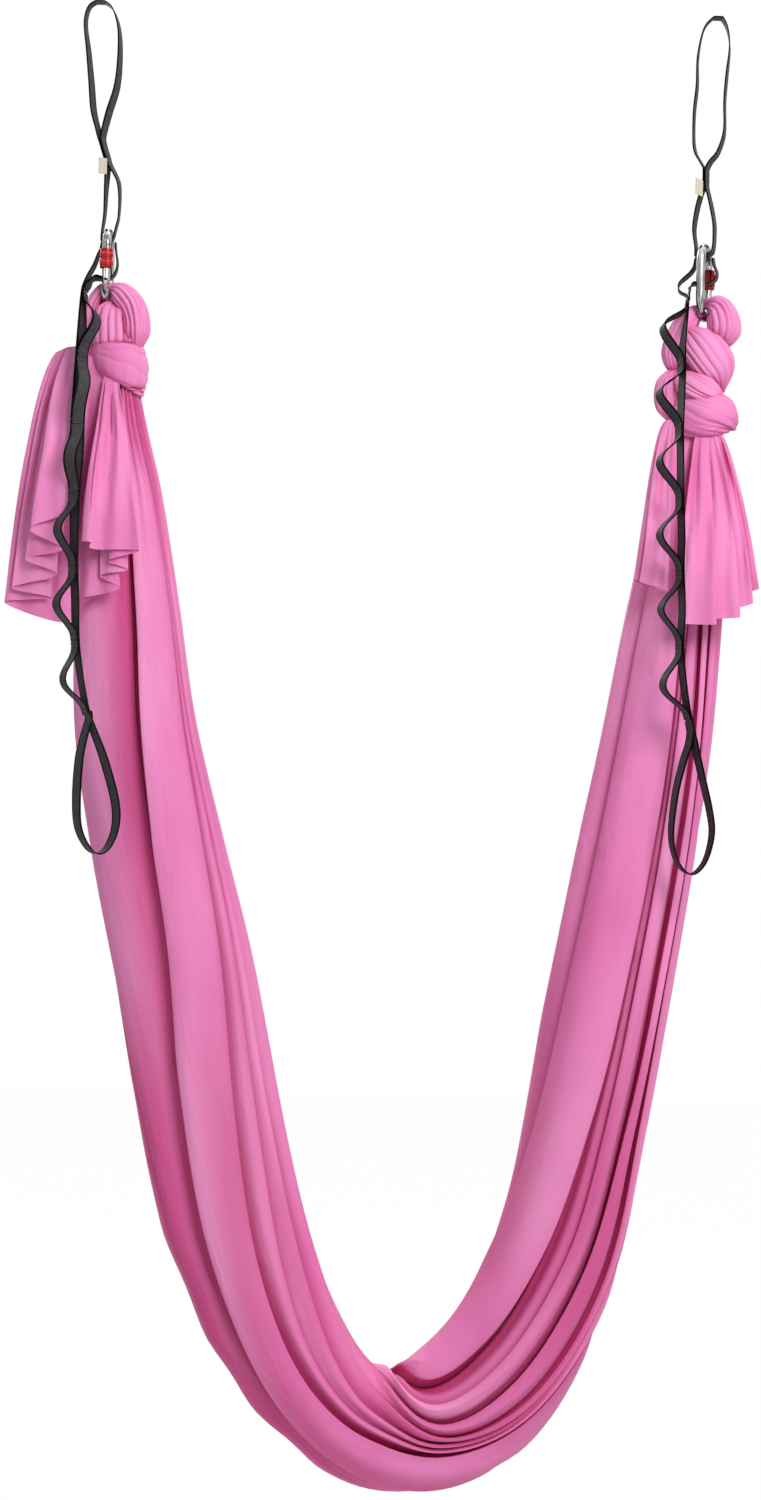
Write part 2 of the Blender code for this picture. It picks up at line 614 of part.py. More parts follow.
def knots():
    """The cloth's two knots. Each lobe is opened for what it bears on, with a small gap."""
    wrap = lobe("left_knot_wrap", LEFT_WRAP, 3, 0.04)
    bight = lobe("left_knot_bight", LEFT_BIGHT)
    boolean(bight, bow_cutter("left", CLOTH_GAP))
    boolean(bight, lobe("cutter", LEFT_WRAP, 3, 0.04, grow=CLOTH_GAP))
    weld(bight)
    bight = lobe("right_knot_bight", RIGHT_BIGHT)
    boolean(bight, bow_cutter("right", CLOTH_GAP))
    weld(bight)
    middle = lobe("right_knot_middle", RIGHT_MIDDLE)
    boolean(middle, lobe("cutter", RIGHT_BIGHT, grow=CLOTH_GAP))
    weld(middle)
    low = lobe("right_knot_wrap", RIGHT_WRAP, turn_per_level=0.2)
    boolean(low, lobe("cutter", RIGHT_MIDDLE, grow=CLOTH_GAP))
    weld(low)
    side = lobe("right_knot_side", RIGHT_SIDE)
    for levels, turn in ((RIGHT_BIGHT, 0.12), (RIGHT_MIDDLE, 0.12), (RIGHT_WRAP, 0.2)):
        boolean(side, lobe("cutter", levels, turn_per_level=turn, grow=CLOTH_GAP))
    weld(side)
    return wrap


# The sling's outline in the front view: outer edge, inner edge and depth, in millimetres, from the left
# knot round the bottom of the U to the right knot.
SLING_OUTLINE = [
    ((-411, -533), (-364, -546.4), 44), ((-422, -604), (-352, -600), 62), ((-435, -700), (-328, -690), 92),
    ((-449, -850), (-300, -838), 130), ((-447, -1010), (-273, -1000), 156), ((-418, -1178), (-232, -1160), 172),
    ((-384, -1350), (-188, -1322), 182), ((-351, -1535), (-148, -1508), 188), ((-298, -1750), (-98, -1702), 192),
    ((-196, -1944), (-48, -1828), 194), ((-52, -2052), (2, -1898), 196), ((100, -2074), (58, -1880), 194),
    ((238, -1970), (124, -1800), 192), ((331, -1775), (176, -1662), 188), ((375, -1540), (206, -1520), 182),
    ((404, -1345), (234, -1330), 172), ((430, -1170), (262, -1165), 158), ((449, -1010), (292, -1010), 140),
    ((460, -850), (320, -850), 116), ((466, -720), (348, -714), 88), ((456, -640), (374, -640), 62),
    ((449, -596.4), (407, -596.4), 44),
]
# Where the deep valleys between the folds lie round the bundle, as shares of a turn, and how deep.
FOLD_VALLEYS = [0.00, 0.075, 0.15, 0.25, 0.30, 0.42, 0.49, 0.55, 0.66, 0.73, 0.83, 0.91]
VALLEY_DEPTH = 0.30


def sling_ring(t, grow):
    """One ring of the sling at t from 0 at the left knot to 1 at the right knot."""
    flat = [(*outer, *inner, depth) for outer, inner, depth in SLING_OUTLINE]
    place = t * (len(flat) - 1)
    k = min(int(place), len(flat) - 2)
    rows = [flat[max(0, min(len(flat) - 1, k + n))] for n in (-1, 0, 1, 2)]
    s = place - k
    ox, oz, ix, iz, depth = (
        0.5 * (2 * q + (r - p) * s + (2 * p - 5 * q + 4 * r - w) * s * s + (3 * q - p - 3 * r + w) * s ** 3)
        for p, q, r, w in zip(*rows)
    )
    outer, inner = Vector((ox, 0, oz)) * MM, Vector((ix, 0, iz)) * MM
    centre = (outer + inner) / 2
    half = (inner - outer) / 2
    inward = half.normalized()
    twist = math.radians(SLING_TWIST_DEG) * t
    open_up = smooth_step(min(t, 1 - t) / 0.08)
    ring = []
    for n, valley in enumerate(FOLD_VALLEYS):
        after = FOLD_VALLEYS[(n + 1) % SLING_FOLDS] + (n == SLING_FOLDS - 1)
        for share, level in ((0.0, 1 - VALLEY_DEPTH * (0.35 + 0.65 * open_up)), (0.25, 0.95), (0.5, 1.0), (0.78, 0.95)):
            a = math.tau * (valley + share * (after - valley)) + twist
            reach = Vector((half.length * level + grow, depth / 2 * MM * level + grow))
            ring.append(centre + inward * (reach.x * math.cos(a)) + Vector((0, reach.y * math.sin(a), 0)))
    return ring


def sling(name, grow=0.0):
    """The gathered cloth from knot to knot, with its main folds winding slowly round the bundle."""
    rings = [sling_ring(k / SLING_STATIONS, grow) for k in range(SLING_STATIONS + 1)]
    return node(name, loft(rings), pink_tricot(), 70.0)


# Tail levels: x, y, z, half-width and half-depth, all in millimetres.
LEFT_TAIL = [
    (-424, -30, -494, 14, 10), (-436, -38, -510, 34, 14), (-442, -46, -535, 52, 17),
    (-442, -53, -575, 66, 20), (-444, -63, -630, 76, 22), (-446, -73, -700, 86, 24),
    (-449, -84, -765, 90, 24),
]
RIGHT_TAIL = [
    (430, -32, -590, 16, 10), (428, -46, -606, 40, 18), (427, -58, -640, 56, 20),
    (425, -68, -690, 66, 22), (423, -78, -750, 76, 23), (422, -84, -782, 80, 23),
]


def tail(name, levels, hem, pleats, grow=0.0):
    """A loose end of the cloth: a flared, fluted skirt whose hem steps between its layers."""
    rings = []
    sides = 40
    for i, (x, y, z, half_x, half_y) in enumerate(levels):
        depth = 0.22 * smooth_step(i / 3)
        rings.append(pleated_ring(
            Vector((x, y, z)) * MM, half_x * MM + grow, half_y * MM + grow, sides, pleats, depth, 0.1,
        ))
    x, y, z, half_x, half_y = levels[-1]
    foot = Vector((x, y - 4, z)) * MM
    last = pleated_ring(foot, half_x * 1.03 * MM, half_y * MM, sides, pleats, 0.22, 0.1)
    rings.append([Vector((p.x, p.y, hem(p.x / MM) * MM)) for p in last])
    return node(name, loft(rings), pink_tricot(), 60.0)


def left_hem(x):
    """Height of the left tail's hem: long at the outer side, short over the sling."""
    if x < -425:
        return -868 + 24 * smooth_step((-500 - x) / 40)
    return -868 + 92 * smooth_step((x + 425) / 40)


def right_hem(x):
    """Height of the right tail's hem."""
    if x < 392:
        return -808 - 45 * smooth_step((x - 362) / 30)
    return -853 + 52 * smooth_step((x - 440) / 55)


def tails():
    """Both loose ends, opened for the knots that they come out of."""
    for name, levels, hem, pleats, knot, turn, extra in (
        ("left_cloth_tail", LEFT_TAIL, left_hem, 7, LEFT_WRAP, 0.12, (3, 0.04)),
        ("right_cloth_tail", RIGHT_TAIL, right_hem, 8, RIGHT_WRAP, 0.2, (KNOT_PLEATS, 0.1)),
    ):
        obj = tail(name, levels, hem, pleats)
        boolean(obj, lobe("cutter", knot, *extra, turn_per_level=turn, grow=CLOTH_GAP))
        weld(obj)


def cloth():
    knots()
    sling("hammock_sling")
    tails()


def straps():
    upper_strap("left", LEFT_UPPER_ROUTE)
    upper_strap("right", RIGHT_UPPER_ROUTE)
    tag("left", LEFT_UPPER_ROUTE, -0.230)
    tag("right", RIGHT_UPPER_ROUTE, -0.242)
    clip_strands("left", LEFT_CLIP_LOAD_ROUTE, LEFT_CLIP_POCKET_ROUTE)
    clip_strands("right", RIGHT_CLIP_LOAD_ROUTE, RIGHT_CLIP_POCKET_ROUTE)
    chain_tail("left", LEFT_CHAIN_ROUTE, LEFT_BULGES, -1)
    chain_tail("right", RIGHT_CHAIN_ROUTE, RIGHT_BULGES, 1)


def main():
    start_clean()
    straps()
    for side in SIDES:
        carabiner(side)
    cloth()


main()
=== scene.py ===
"""Looks of the aerial yoga hammock: gathered pink tricot, knots and loose ends, sewn daisy-chain webbing
and two screw-gate carabiners, in a plain pale studio. Metres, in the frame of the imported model."""

import math

import bmesh
import bpy
from bpy.props import FloatProperty, FloatVectorProperty, IntProperty, PointerProperty
from mathutils import Matrix, Vector, noise
from mathutils.bvhtree import BVHTree


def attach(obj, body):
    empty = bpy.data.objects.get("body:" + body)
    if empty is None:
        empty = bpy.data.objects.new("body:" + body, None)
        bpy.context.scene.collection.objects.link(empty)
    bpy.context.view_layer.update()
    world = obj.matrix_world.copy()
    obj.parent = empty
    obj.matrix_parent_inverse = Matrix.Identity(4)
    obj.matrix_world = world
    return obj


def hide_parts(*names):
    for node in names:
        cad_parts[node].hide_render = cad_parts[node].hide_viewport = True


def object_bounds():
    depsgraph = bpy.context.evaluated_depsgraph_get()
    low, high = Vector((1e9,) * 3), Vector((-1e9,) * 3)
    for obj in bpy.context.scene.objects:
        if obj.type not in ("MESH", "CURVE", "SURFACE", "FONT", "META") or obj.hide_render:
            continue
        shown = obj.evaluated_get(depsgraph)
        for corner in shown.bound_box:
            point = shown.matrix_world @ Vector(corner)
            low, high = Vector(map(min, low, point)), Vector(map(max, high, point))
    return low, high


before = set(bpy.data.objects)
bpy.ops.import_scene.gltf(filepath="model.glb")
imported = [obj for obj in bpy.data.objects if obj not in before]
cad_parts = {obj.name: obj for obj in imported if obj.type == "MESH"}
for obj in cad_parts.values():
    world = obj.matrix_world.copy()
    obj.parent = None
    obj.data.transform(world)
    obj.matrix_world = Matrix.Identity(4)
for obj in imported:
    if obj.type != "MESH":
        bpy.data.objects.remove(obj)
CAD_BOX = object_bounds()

bl_info = {
    "name": "Aerial yoga hammock",
    "version": (1, 0, 0),
    "blender": (4, 5, 0),
    "location": "View3D > Sidebar > Hammock",
    "description": "Builds the cloth, webbing and carabiners of an aerial yoga hammock",
    "category": "Object",
}

MM = 0.001
TAU = math.tau
SIDES = ("left", "right")


def linear(text):
    """An sRGB hex colour as linear red, green, blue and alpha."""
    parts = [int(text[i:i + 2], 16) / 255 for i in (1, 3, 5)]
    return (*(c / 12.92 if c <= 0.04045 else ((c + 0.055) / 1.055) ** 2.4 for c in parts), 1.0)


def colour_setting(name, what, text):
    return FloatVectorProperty(
        name=name, description=what, subtype="COLOR", size=4, min=0, max=1, default=linear(text))


class HammockSizes(bpy.types.PropertyGroup):
    fold_lap: FloatProperty(
        name="Fold lap", description="How far a fold of the sling lies over its neighbour",
        default=0.009, min=0.002, max=0.02, unit="LENGTH")
    fold_depth: FloatProperty(
        name="Fold depth", description="How deep the valleys reach, as a share of the bundle's radius",
        default=0.9, min=0.2, max=0.94, subtype="FACTOR")
    strand_pleats: IntProperty(
        name="Strand pleats", description="Pleats round one strand of a knot", default=17, min=6, max=30)
    webbing_thickness: FloatProperty(
        name="Webbing thickness", description="Thickness of the strap webbing",
        default=0.0018, min=0.001, max=0.003, unit="LENGTH")
    stitch_pitch: FloatProperty(
        name="Stitch pitch", description="Distance between the threads of a bar tack",
        default=0.0011, min=0.0006, max=0.003, unit="LENGTH")
    knurl_count: IntProperty(
        name="Knurl ribs", description="Ribs round one band of a screw sleeve", default=36, min=12, max=60)


class HammockColours(bpy.types.PropertyGroup):
    cloth: colour_setting("Cloth", "Colour of the tricot", "#F99DD1")
    # Painted shade: the deeper pink put into the tricot's colour in close folds and other shaded places.
    valley: colour_setting("Valleys", "Colour of the tricot where light comes through close folds", "#CC3D7E")
    webbing: colour_setting("Webbing", "Colour of the nylon webbing", "#343234")
    steel: colour_setting("Steel", "Colour of the polished steel", "#C9C9C6")
    sleeve: colour_setting("Sleeve", "Colour of the anodised sleeves", "#B20D18")
    tag: colour_setting("Tag", "Colour of the sewn-in tags", "#D8D2BF")


def sizes():
    return bpy.context.scene.hammock_sizes


def colour(name):
    return tuple(getattr(bpy.context.scene.hammock_colours, name))


# Small tools


def on_span(points, k, t):
    """The place at share t of span k of a smooth curve through tuples of any length."""
    near = (points[max(0, min(len(points) - 1, k + n))] for n in (-1, 0, 1, 2))
    return tuple(
        0.5 * (2 * q + (r - p) * t + (2 * p - 5 * q + 4 * r - w) * t * t + (3 * q - p - 3 * r + w) * t ** 3)
        for p, q, r, w in zip(*near)
    )


def spline(points, steps):
    """A smooth curve through the points, with the given steps in each span."""
    spans = range(len(points) - 1)
    return [on_span(points, k, s / steps) for k in spans for s in range(steps)] + [points[-1]]


def smooth_step(t):
    t = max(0.0, min(1.0, t))
    return t * t * (3 - 2 * t)


def wander(*place):
    """A smooth, repeatable wander between about -1 and 1."""
    return noise.noise(Vector((*place, 0.0, 0.0)[:3])) * 1.6


def ahead_at(places, i):
    """The direction of a line of places at one of them."""
    return (places[min(i + 1, len(places) - 1)] - places[max(i - 1, 0)]).normalized()


def show(name, mesh, finish=None):
    """Shows a mesh as a smooth object at the origin."""
    if finish:
        mesh.materials.append(finish)
    mesh.shade_smooth()
    obj = bpy.data.objects.new(name, mesh)
    bpy.context.scene.collection.objects.link(obj)
    return obj


def piece(name, verts, faces, finish, uvs=None):
    """A piece from points and faces. uvs holds one pair for each point."""
    mesh = bpy.data.meshes.new(name)
    mesh.from_pydata([tuple(v) for v in verts], [], faces)
    if uvs:
        layer = mesh.uv_layers.new(name="cloth")
        for loop in mesh.loops:
            layer.data[loop.index].uv = uvs[loop.vertex_index]
    return show(name, mesh, finish)


def solid(name, bm, finish):
    """A closed piece from a bmesh."""
    mesh = bpy.data.meshes.new(name)
    bm.to_mesh(mesh)
    bm.free()
    return show(name, mesh, finish)


def stand_in(obj, slot, body, *nodes):
    """Hangs a piece on the body it rides on and hides the CAD nodes it stands for. The slot argument is not
    used.
    """
    if nodes:
        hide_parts(*nodes)
    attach(obj, body)


def grid(rows, wrap=False):
    """Faces over rows of equal length, whose points are numbered row by row."""
    wide = len(rows[0])
    faces = []
    for i in range(len(rows) - 1):
        for j in range(wide if wrap else wide - 1):
            k = (j + 1) % wide
            faces.append((i * wide + j, i * wide + k, (i + 1) * wide + k, (i + 1) * wide + j))
    return faces


def loft(rings, closed=False):
    """A skin over rings of equal length as a bmesh, with fan caps or joined end to end."""
    bm = bmesh.new()
    verts = [[bm.verts.new(p) for p in ring] for ring in rings]
    spans = list(zip(verts, verts[1:])) + ([(verts[-1], verts[0])] if closed else [])
    for low, high in spans:
        for i in range(len(low)):
            j = (i + 1) % len(low)
            bm.faces.new((low[i], low[j], high[j], high[i]))
    for ring in () if closed else (verts[0], verts[-1]):
        hub = bm.verts.new(sum((v.co for v in ring), Vector()) / len(ring))
        for i in range(len(ring)):
            bm.faces.new((ring[i], ring[(i + 1) % len(ring)], hub))
    bmesh.ops.recalc_face_normals(bm, faces=bm.faces)
    return bm


def settle(obj):
    """Turns an object with modifiers into a plain mesh."""
    graph = bpy.context.evaluated_depsgraph_get()
    graph.update()
    mesh = bpy.data.meshes.new_from_object(obj.evaluated_get(graph))
    obj.modifiers.clear()
    old = obj.data
    obj.data = mesh
    bpy.data.meshes.remove(old)
    mesh.name = obj.name


def mark_valleys(obj, reach, sides=(1,), least_shade=None):
    """Stores painted shade for the cloth's colour: how closed in each point of a cloth is, the share of rays
    from it that soon meet cloth again. Where both sides of the cloth show, the more open side counts. The
    last argument is the least painted shade that a point gets."""
    rays = 12
    mesh = obj.data
    tree = BVHTree.FromPolygons([v.co for v in mesh.vertices], [f.vertices for f in mesh.polygons])
    fan = []
    for k in range(rays):
        up = 1 - (2 * k + 1) / rays
        turn = k * TAU * 0.618
        flat = math.sqrt(1 - up * up)
        fan.append(Vector((flat * math.cos(turn), flat * math.sin(turn), up)))
    values = []
    for vert in mesh.vertices:
        counts = []
        for side in sides:
            out = vert.normal * side
            start = vert.co + out * 0.0008
            aims = (ray if ray.dot(out) > 0 else -ray for ray in fan)
            counts.append(sum(tree.ray_cast(start, aim, reach)[0] is not None for aim in aims))
        closed = smooth_step((min(counts) / rays - 0.2) / 0.7)
        values.append(max(closed, least_shade[vert.index]) if least_shade else closed)
    # Twice averaged with the neighbours, so that single rays leave no steps.
    for _ in range(2):
        sums, counts = list(values), [1] * len(values)
        for edge in mesh.edges:
            a, b = edge.vertices
            sums[a] += values[b]
            sums[b] += values[a]
            counts[a] += 1
            counts[b] += 1
        values = [total / count for total, count in zip(sums, counts)]
    mesh.attributes.new("valley", "FLOAT", "POINT").data.foreach_set("value", values)


def curve_at(knots, values, t):
    """A smooth curve through values at uneven knots."""
    if t <= knots[0]:
        return values[0]
    if t >= knots[-1]:
        return values[-1]
    k = max(i for i, v in enumerate(knots[:-1]) if v <= t)
    slopes = []
    for i in (k, k + 1):
        lo, hi = max(i - 1, 0), min(i + 1, len(knots) - 1)
        slopes.append((values[hi] - values[lo]) / (knots[hi] - knots[lo]))
    span = knots[k + 1] - knots[k]
    s = (t - knots[k]) / span
    return ((2 * s ** 3 - 3 * s * s + 1) * values[k] + (s ** 3 - 2 * s * s + s) * span * slopes[0]
            + (3 * s * s - 2 * s ** 3) * values[k + 1] + (s ** 3 - s * s) * span * slopes[1])


# Materials and node trees


def wire(tree, node, values):
    """Sets a node's properties and sockets. A node, or (node, output), is linked to the socket instead."""
    for key, value in values.items():
        source, output = value if isinstance(value, tuple) and len(value) == 2 else (value, 0)
        if isinstance(key, str) and key in node.bl_rna.properties:
            setattr(node, key, value)
        elif isinstance(source, bpy.types.Node):
            tree.links.new(source.outputs[output], node.inputs[key])
        else:
            node.inputs[key].default_value = value
    return node


def add(tree, kind, values=None):
    """Adds a node with its settings and links. Without "Node" in its kind, it is of the tree's own family."""
    family = "ShaderNode" if tree.type == "SHADER" else "GeometryNode"
    return wire(tree, tree.nodes.new(kind if "Node" in kind else family + kind), values or {})


def look(make):
    """Makes a material of its function's name at the first call, and finds it by that name later."""
    def find():
        made = bpy.data.materials.get(make.__name__)
        if not made:
            made = bpy.data.materials.new(make.__name__)
            made.use_nodes = True
            make(made.node_tree, made.node_tree.nodes["Principled BSDF"])
        return made
    return find


def repeats(**inputs):
    """Makes a Geometry Nodes tree of its function's name at the first call, and finds it by that name later.
    The function gives instances back, which are made real, smooth and in their finish."""
    def wrap(make):
        def find():
            if make.__name__ in bpy.data.node_groups:
                return bpy.data.node_groups[make.__name__]
            tree = bpy.data.node_groups.new(make.__name__, "GeometryNodeTree")
            tree.interface.new_socket("Geometry", in_out="OUTPUT", socket_type="NodeSocketGeometry")
            for label, kind in {"Geometry": "Geometry", **inputs, "Finish": "Material"}.items():
                label = label.replace("_", " ")
                tree.interface.new_socket(label, in_out="INPUT", socket_type="NodeSocket" + kind)
            start = tree.nodes.new("NodeGroupInput")
            real = add(tree, "RealizeInstances", {"Geometry": make(tree, start)})
            smooth = add(tree, "SetShadeSmooth", {"Geometry": real})
            done = add(tree, "SetMaterial", {"Geometry": smooth, "Material": (start, "Finish")})
            add(tree, "NodeGroupOutput", {"Geometry": done})
            return tree
        return find
    return wrap


def grow(obj, tree, values):
    """Runs a Geometry Nodes tree on an object and keeps the result as its plain mesh."""
    change = obj.modifiers.new(tree.name, "NODES")
    change.node_group = tree
    for item in tree.interface.items_tree:
        if item.in_out == "INPUT" and item.name in values:
            change[item.identifier] = values[item.name]
    settle(obj)
    return obj


@repeats(Pitch="Float", Thread_length="Float", Thread_thickness="Float")
def stitch_rows(tree, start):
    """Threads at an even pitch along the edges of a mesh, each laid along one stored direction and facing
    another."""
    line = add(tree, "MeshToCurve", {"Mesh": start})
    places = add(tree, "ResampleCurve", {"mode": "LENGTH", "Curve": line, "Length": (start, "Pitch")})
    bead = add(tree, "MeshUVSphere", {"Segments": 6, "Rings": 4, "Radius": 0.5})
    long, thick = (start, "Thread length"), (start, "Thread thickness")
    size = add(tree, "ShaderNodeCombineXYZ", {"X": long, "Y": thick, "Z": thick})
    thread = add(tree, "Transform", {"Geometry": bead, "Scale": size})
    turned = (0.0, 0.0, 0.0)
    for axis, name, pivot in (("Z", "face", "AUTO"), ("X", "along", "Z")):
        stored = add(tree, "InputNamedAttribute", {"data_type": "FLOAT_VECTOR", "Name": name})
        turned = add(tree, "FunctionNodeAlignRotationToVector", {
            "axis": axis, "pivot_axis": pivot, "Vector": stored, "Rotation": turned,
        })
    return add(tree, "InstanceOnPoints", {"Points": places, "Instance": thread, "Rotation": turned})


@repeats(Count="Int", Ring_radius="Float", Rib_length="Float", Rib_width="Float")
def knurl_rings(tree, start):
    """Rings of fine ribs: one ring round each point of the geometry, about the Z axis."""
    ring = add(tree, "MeshCircle", {"Vertices": (start, "Count"), "Radius": (start, "Ring radius")})
    rib = add(tree, "MeshUVSphere", {"Segments": 8, "Rings": 6, "Radius": 0.5})
    wide = (start, "Rib width")
    size = add(tree, "ShaderNodeCombineXYZ", {"X": wide, "Y": wide, "Z": (start, "Rib length")})
    shaped = add(tree, "Transform", {"Geometry": rib, "Scale": size})
    ribs = add(tree, "InstanceOnPoints", {"Points": ring, "Instance": shaped})
    return add(tree, "InstanceOnPoints", {"Points": start, "Instance": ribs})


def stitches(name, lines, thread, pitch, length, thickness):
    """A piece of threads sewn along lines of (place, face direction, thread direction)."""
    verts, edges, faces, alongs = [], [], [], []
    for line in lines:
        edges += [(len(verts) + k, len(verts) + k + 1) for k in range(len(line) - 1)]
        for place, face, along in line:
            verts.append(place)
            faces.extend(face)
            alongs.extend(along)
    mesh = bpy.data.meshes.new(name)
    mesh.from_pydata(verts, edges, [])
    for label, values in (("face", faces), ("along", alongs)):
        mesh.attributes.new(label, "FLOAT_VECTOR", "POINT").data.foreach_set("vector", values)
    return grow(show(name, mesh), stitch_rows(), {
        "Pitch": pitch, "Thread length": length, "Thread thickness": thickness, "Finish": thread,
    })


@look
def nylon_tricot(tree, shader):
    """Warp-knit nylon tricot. The knit's ribs run along the cloth, about 0.5 mm apart; they are drawn at
    1.6 mm so that they show. The yarn is bright, so the cloth has a soft silky sheen."""
    uv = add(tree, "UVMap", {"uv_map": "cloth"})
    cloud = add(tree, "Mapping", {"Scale": (9.0, 2.2, 1.0), "Vector": uv})
    cloudy = add(tree, "TexNoise", {"Scale": 1.0, "Detail": 3.0, "Vector": cloud})
    thick = add(tree, "MapRange", {"From Min": 0.35, "From Max": 0.65, "Value": cloudy})
    single = colour("cloth")
    double = tuple(c * f for c, f in zip(single, (0.88, 0.62, 0.78, 1)))
    tint = add(tree, "Mix", {"data_type": "RGBA", 0: thick, 6: single, 7: double})
    # Painted shade: the stored fold shade mixes a deeper pink into the colour in close folds and other shaded
    # places.
    valley = add(tree, "Attribute", {"attribute_name": "valley"})
    deep = add(tree, "Mix", {"data_type": "RGBA", 0: (valley, "Fac"), 6: (tint, 2), 7: colour("valley")})
    # Soft hand creases: long along the cloth, about 15 mm apart across it.
    stretch = add(tree, "Mapping", {"Scale": (38.0, 5.0, 1.0), "Vector": uv})
    creases = add(tree, "TexNoise", {"Scale": 1.0, "Detail": 3.0, "Roughness": 0.45, "Vector": stretch})
    # Sparse slanting creases some 60 mm long, sharper than the soft ones.
    slant = add(tree, "Mapping", {"Rotation": (0.0, 0.0, 0.7), "Scale": (34.0, 10.0, 1.0), "Vector": uv})
    marks = add(tree, "TexNoise", {"Scale": 1.0, "Detail": 2.0, "Distortion": 0.6, "Vector": slant})
    crest = add(tree, "MapRange", {"From Min": 0.60, "From Max": 0.72, "Value": marks})
    # 1.6 mm ribs: the wave repeats every 0.314 / scale metres.
    ribs = add(tree, "TexWave", {"bands_direction": "X", "Scale": 196.0, "Distortion": 0.4, "Vector": uv})
    bump = add(tree, "Bump", {"Strength": 0.5, "Distance": 0.008, "Height": creases})
    bump = add(tree, "Bump", {"Strength": 0.35, "Distance": 0.004, "Height": crest, "Normal": bump})
    fine = {"Strength": 0.15, "Distance": 0.0003, "Height": (ribs, "Fac"), "Normal": bump}
    wire(tree, shader, {
        "Base Color": (deep, 2), "Normal": add(tree, "Bump", fine), "Roughness": 0.6, "Sheen Weight": 0.14,
        "Sheen Roughness": 0.35, "Sheen Tint": linear("#FFD3EA"), "Specular IOR Level": 0.1,
    })


@look
def woven_nylon(tree, shader):
    """Woven nylon webbing: a tight twill of filament yarn, about 1.3 mm a rib across the strap. Its colour
    holds painted shade, near black along both selvedges, and painted sheen, grey streaks on the yarn."""
    uv = add(tree, "UVMap", {"uv_map": "cloth"})
    ribs = add(tree, "TexWave", {"bands_direction": "Y", "Scale": 240.0, "Distortion": 0.6, "Vector": uv})
    yarns = add(tree, "TexWave", {"bands_direction": "X", "Scale": 300.0, "Vector": uv})
    weave = add(tree, "Math", {"operation": "MULTIPLY", 0: (ribs, "Fac"), 1: (yarns, "Fac")})
    streak = add(tree, "TexNoise", {"Scale": 180.0, "Detail": 2.0, "Vector": uv})
    # Painted sheen: light grey streaks mixed into the colour where the weave and a noise are both high.
    painted_sheen = add(tree, "Math", {"operation": "MULTIPLY", 0: weave, 1: streak})
    tint = add(tree, "Mix", {"data_type": "RGBA", 0: painted_sheen, 6: colour("webbing"), 7: linear("#8A868A")})
    # The map runs 42 mm round the strip in even steps from one selvedge. Painted shade: the colour is near
    # black up to 6.9 mm from each.
    split = add(tree, "SeparateXYZ", {0: uv})
    edge = add(tree, "Math", {"operation": "PINGPONG", 0: split, 1: 0.0105})
    inside = add(tree, "MapRange", {"From Min": 0.0066, "From Max": 0.0072, "Value": edge})
    edge_shade = add(tree, "Mix", {"data_type": "RGBA", 0: inside, 6: linear("#020202"), 7: (tint, 2)})
    bump = add(tree, "Bump", {"Strength": 0.4, "Distance": 0.0003, "Height": weave})
    wire(tree, shader, {
        "Base Color": (edge_shade, 2), "Normal": bump, "Roughness": 0.5, "Specular IOR Level": 0.04,
    })


def sewing_thread(tree, shader, dark, light):
    """Bonded filament thread: smooth and a little shiny, with small changes of shade along it."""
    place = add(tree, "TexCoord")
    grain = add(tree, "TexNoise", {"Scale": 700.0, "Vector": (place, "Object")})
    tint = add(tree, "Mix", {"data_type": "RGBA", 0: grain, 6: linear(dark), 7: linear(light)})
    wire(tree, shader, {"Base Color": (tint, 2), "Roughness": 0.35, "Sheen Weight": 0.2})


@look
def bonded_thread(tree, shader):
    """Black bonded nylon of the bar tacks."""
    sewing_thread(tree, shader, "#060607", "#1E1E20")


@look
def hem_thread(tree, shader):
    """Pink polyester of the hems."""
    sewing_thread(tree, shader, "#E57BB2", "#F8B4D8")


@look
def polished_steel_finish(tree, shader):
    """Polished steel bar: bright, with faint polishing scratches under a millimetre apart."""
    place = (add(tree, "TexCoord"), "Object")
    # Painted reflection: dark streaks some 4 mm wide along the bar, standing in for dark surroundings
    # mirrored in the polish.
    streaks = add(tree, "Mapping", {"Scale": (240.0, 240.0, 22.0), "Vector": place})
    dark_reflection = add(tree, "TexNoise", {"Scale": 1.0, "Detail": 2.0, "Vector": streaks})
    share = add(tree, "MapRange", {"From Min": 0.4, "From Max": 0.62, "Value": dark_reflection})
    tint = add(tree, "Mix", {"data_type": "RGBA", 0: share, 6: colour("steel"), 7: linear("#6B6B66")})
    scratch = add(tree, "Mapping", {"Scale": (900.0, 900.0, 120.0), "Vector": place})
    lines = add(tree, "TexNoise", {"Scale": 1.0, "Detail": 3.0, "Vector": scratch})
    rough = add(tree, "MapRange", {"To Min": 0.1, "To Max": 0.28, "Value": lines})
    bump = add(tree, "Bump", {"Strength": 0.1, "Distance": 0.00005, "Height": lines})
    wire(tree, shader, {"Base Color": (tint, 2), "Normal": bump, "Roughness": rough, "Metallic": 1.0})


@look
def red_anodised_finish(tree, shader):
    """Red anodised aluminium: a clear dyed oxide over turned metal, with fine turning marks round it."""
    place = (add(tree, "TexCoord"), "Object")
    marks = add(tree, "TexWave", {"bands_direction": "Z", "Scale": 600.0, "Distortion": 1.0, "Vector": place})
    rough = add(tree, "MapRange", {"To Min": 0.2, "To Max": 0.36, "Value": (marks, "Fac")})
    patch = add(tree, "TexNoise", {"Scale": 90.0, "Vector": place})
    tint = add(tree, "Mix", {"data_type": "RGBA", 0: patch, 6: colour("sleeve"), 7: linear("#7A070F")})
    wire(tree, shader, {
        "Base Color": (tint, 2), "Roughness": rough, "Metallic": 0.6, "Coat Weight": 0.25,
        "Coat Roughness": 0.15, "Specular IOR Level": 0.3,
    })


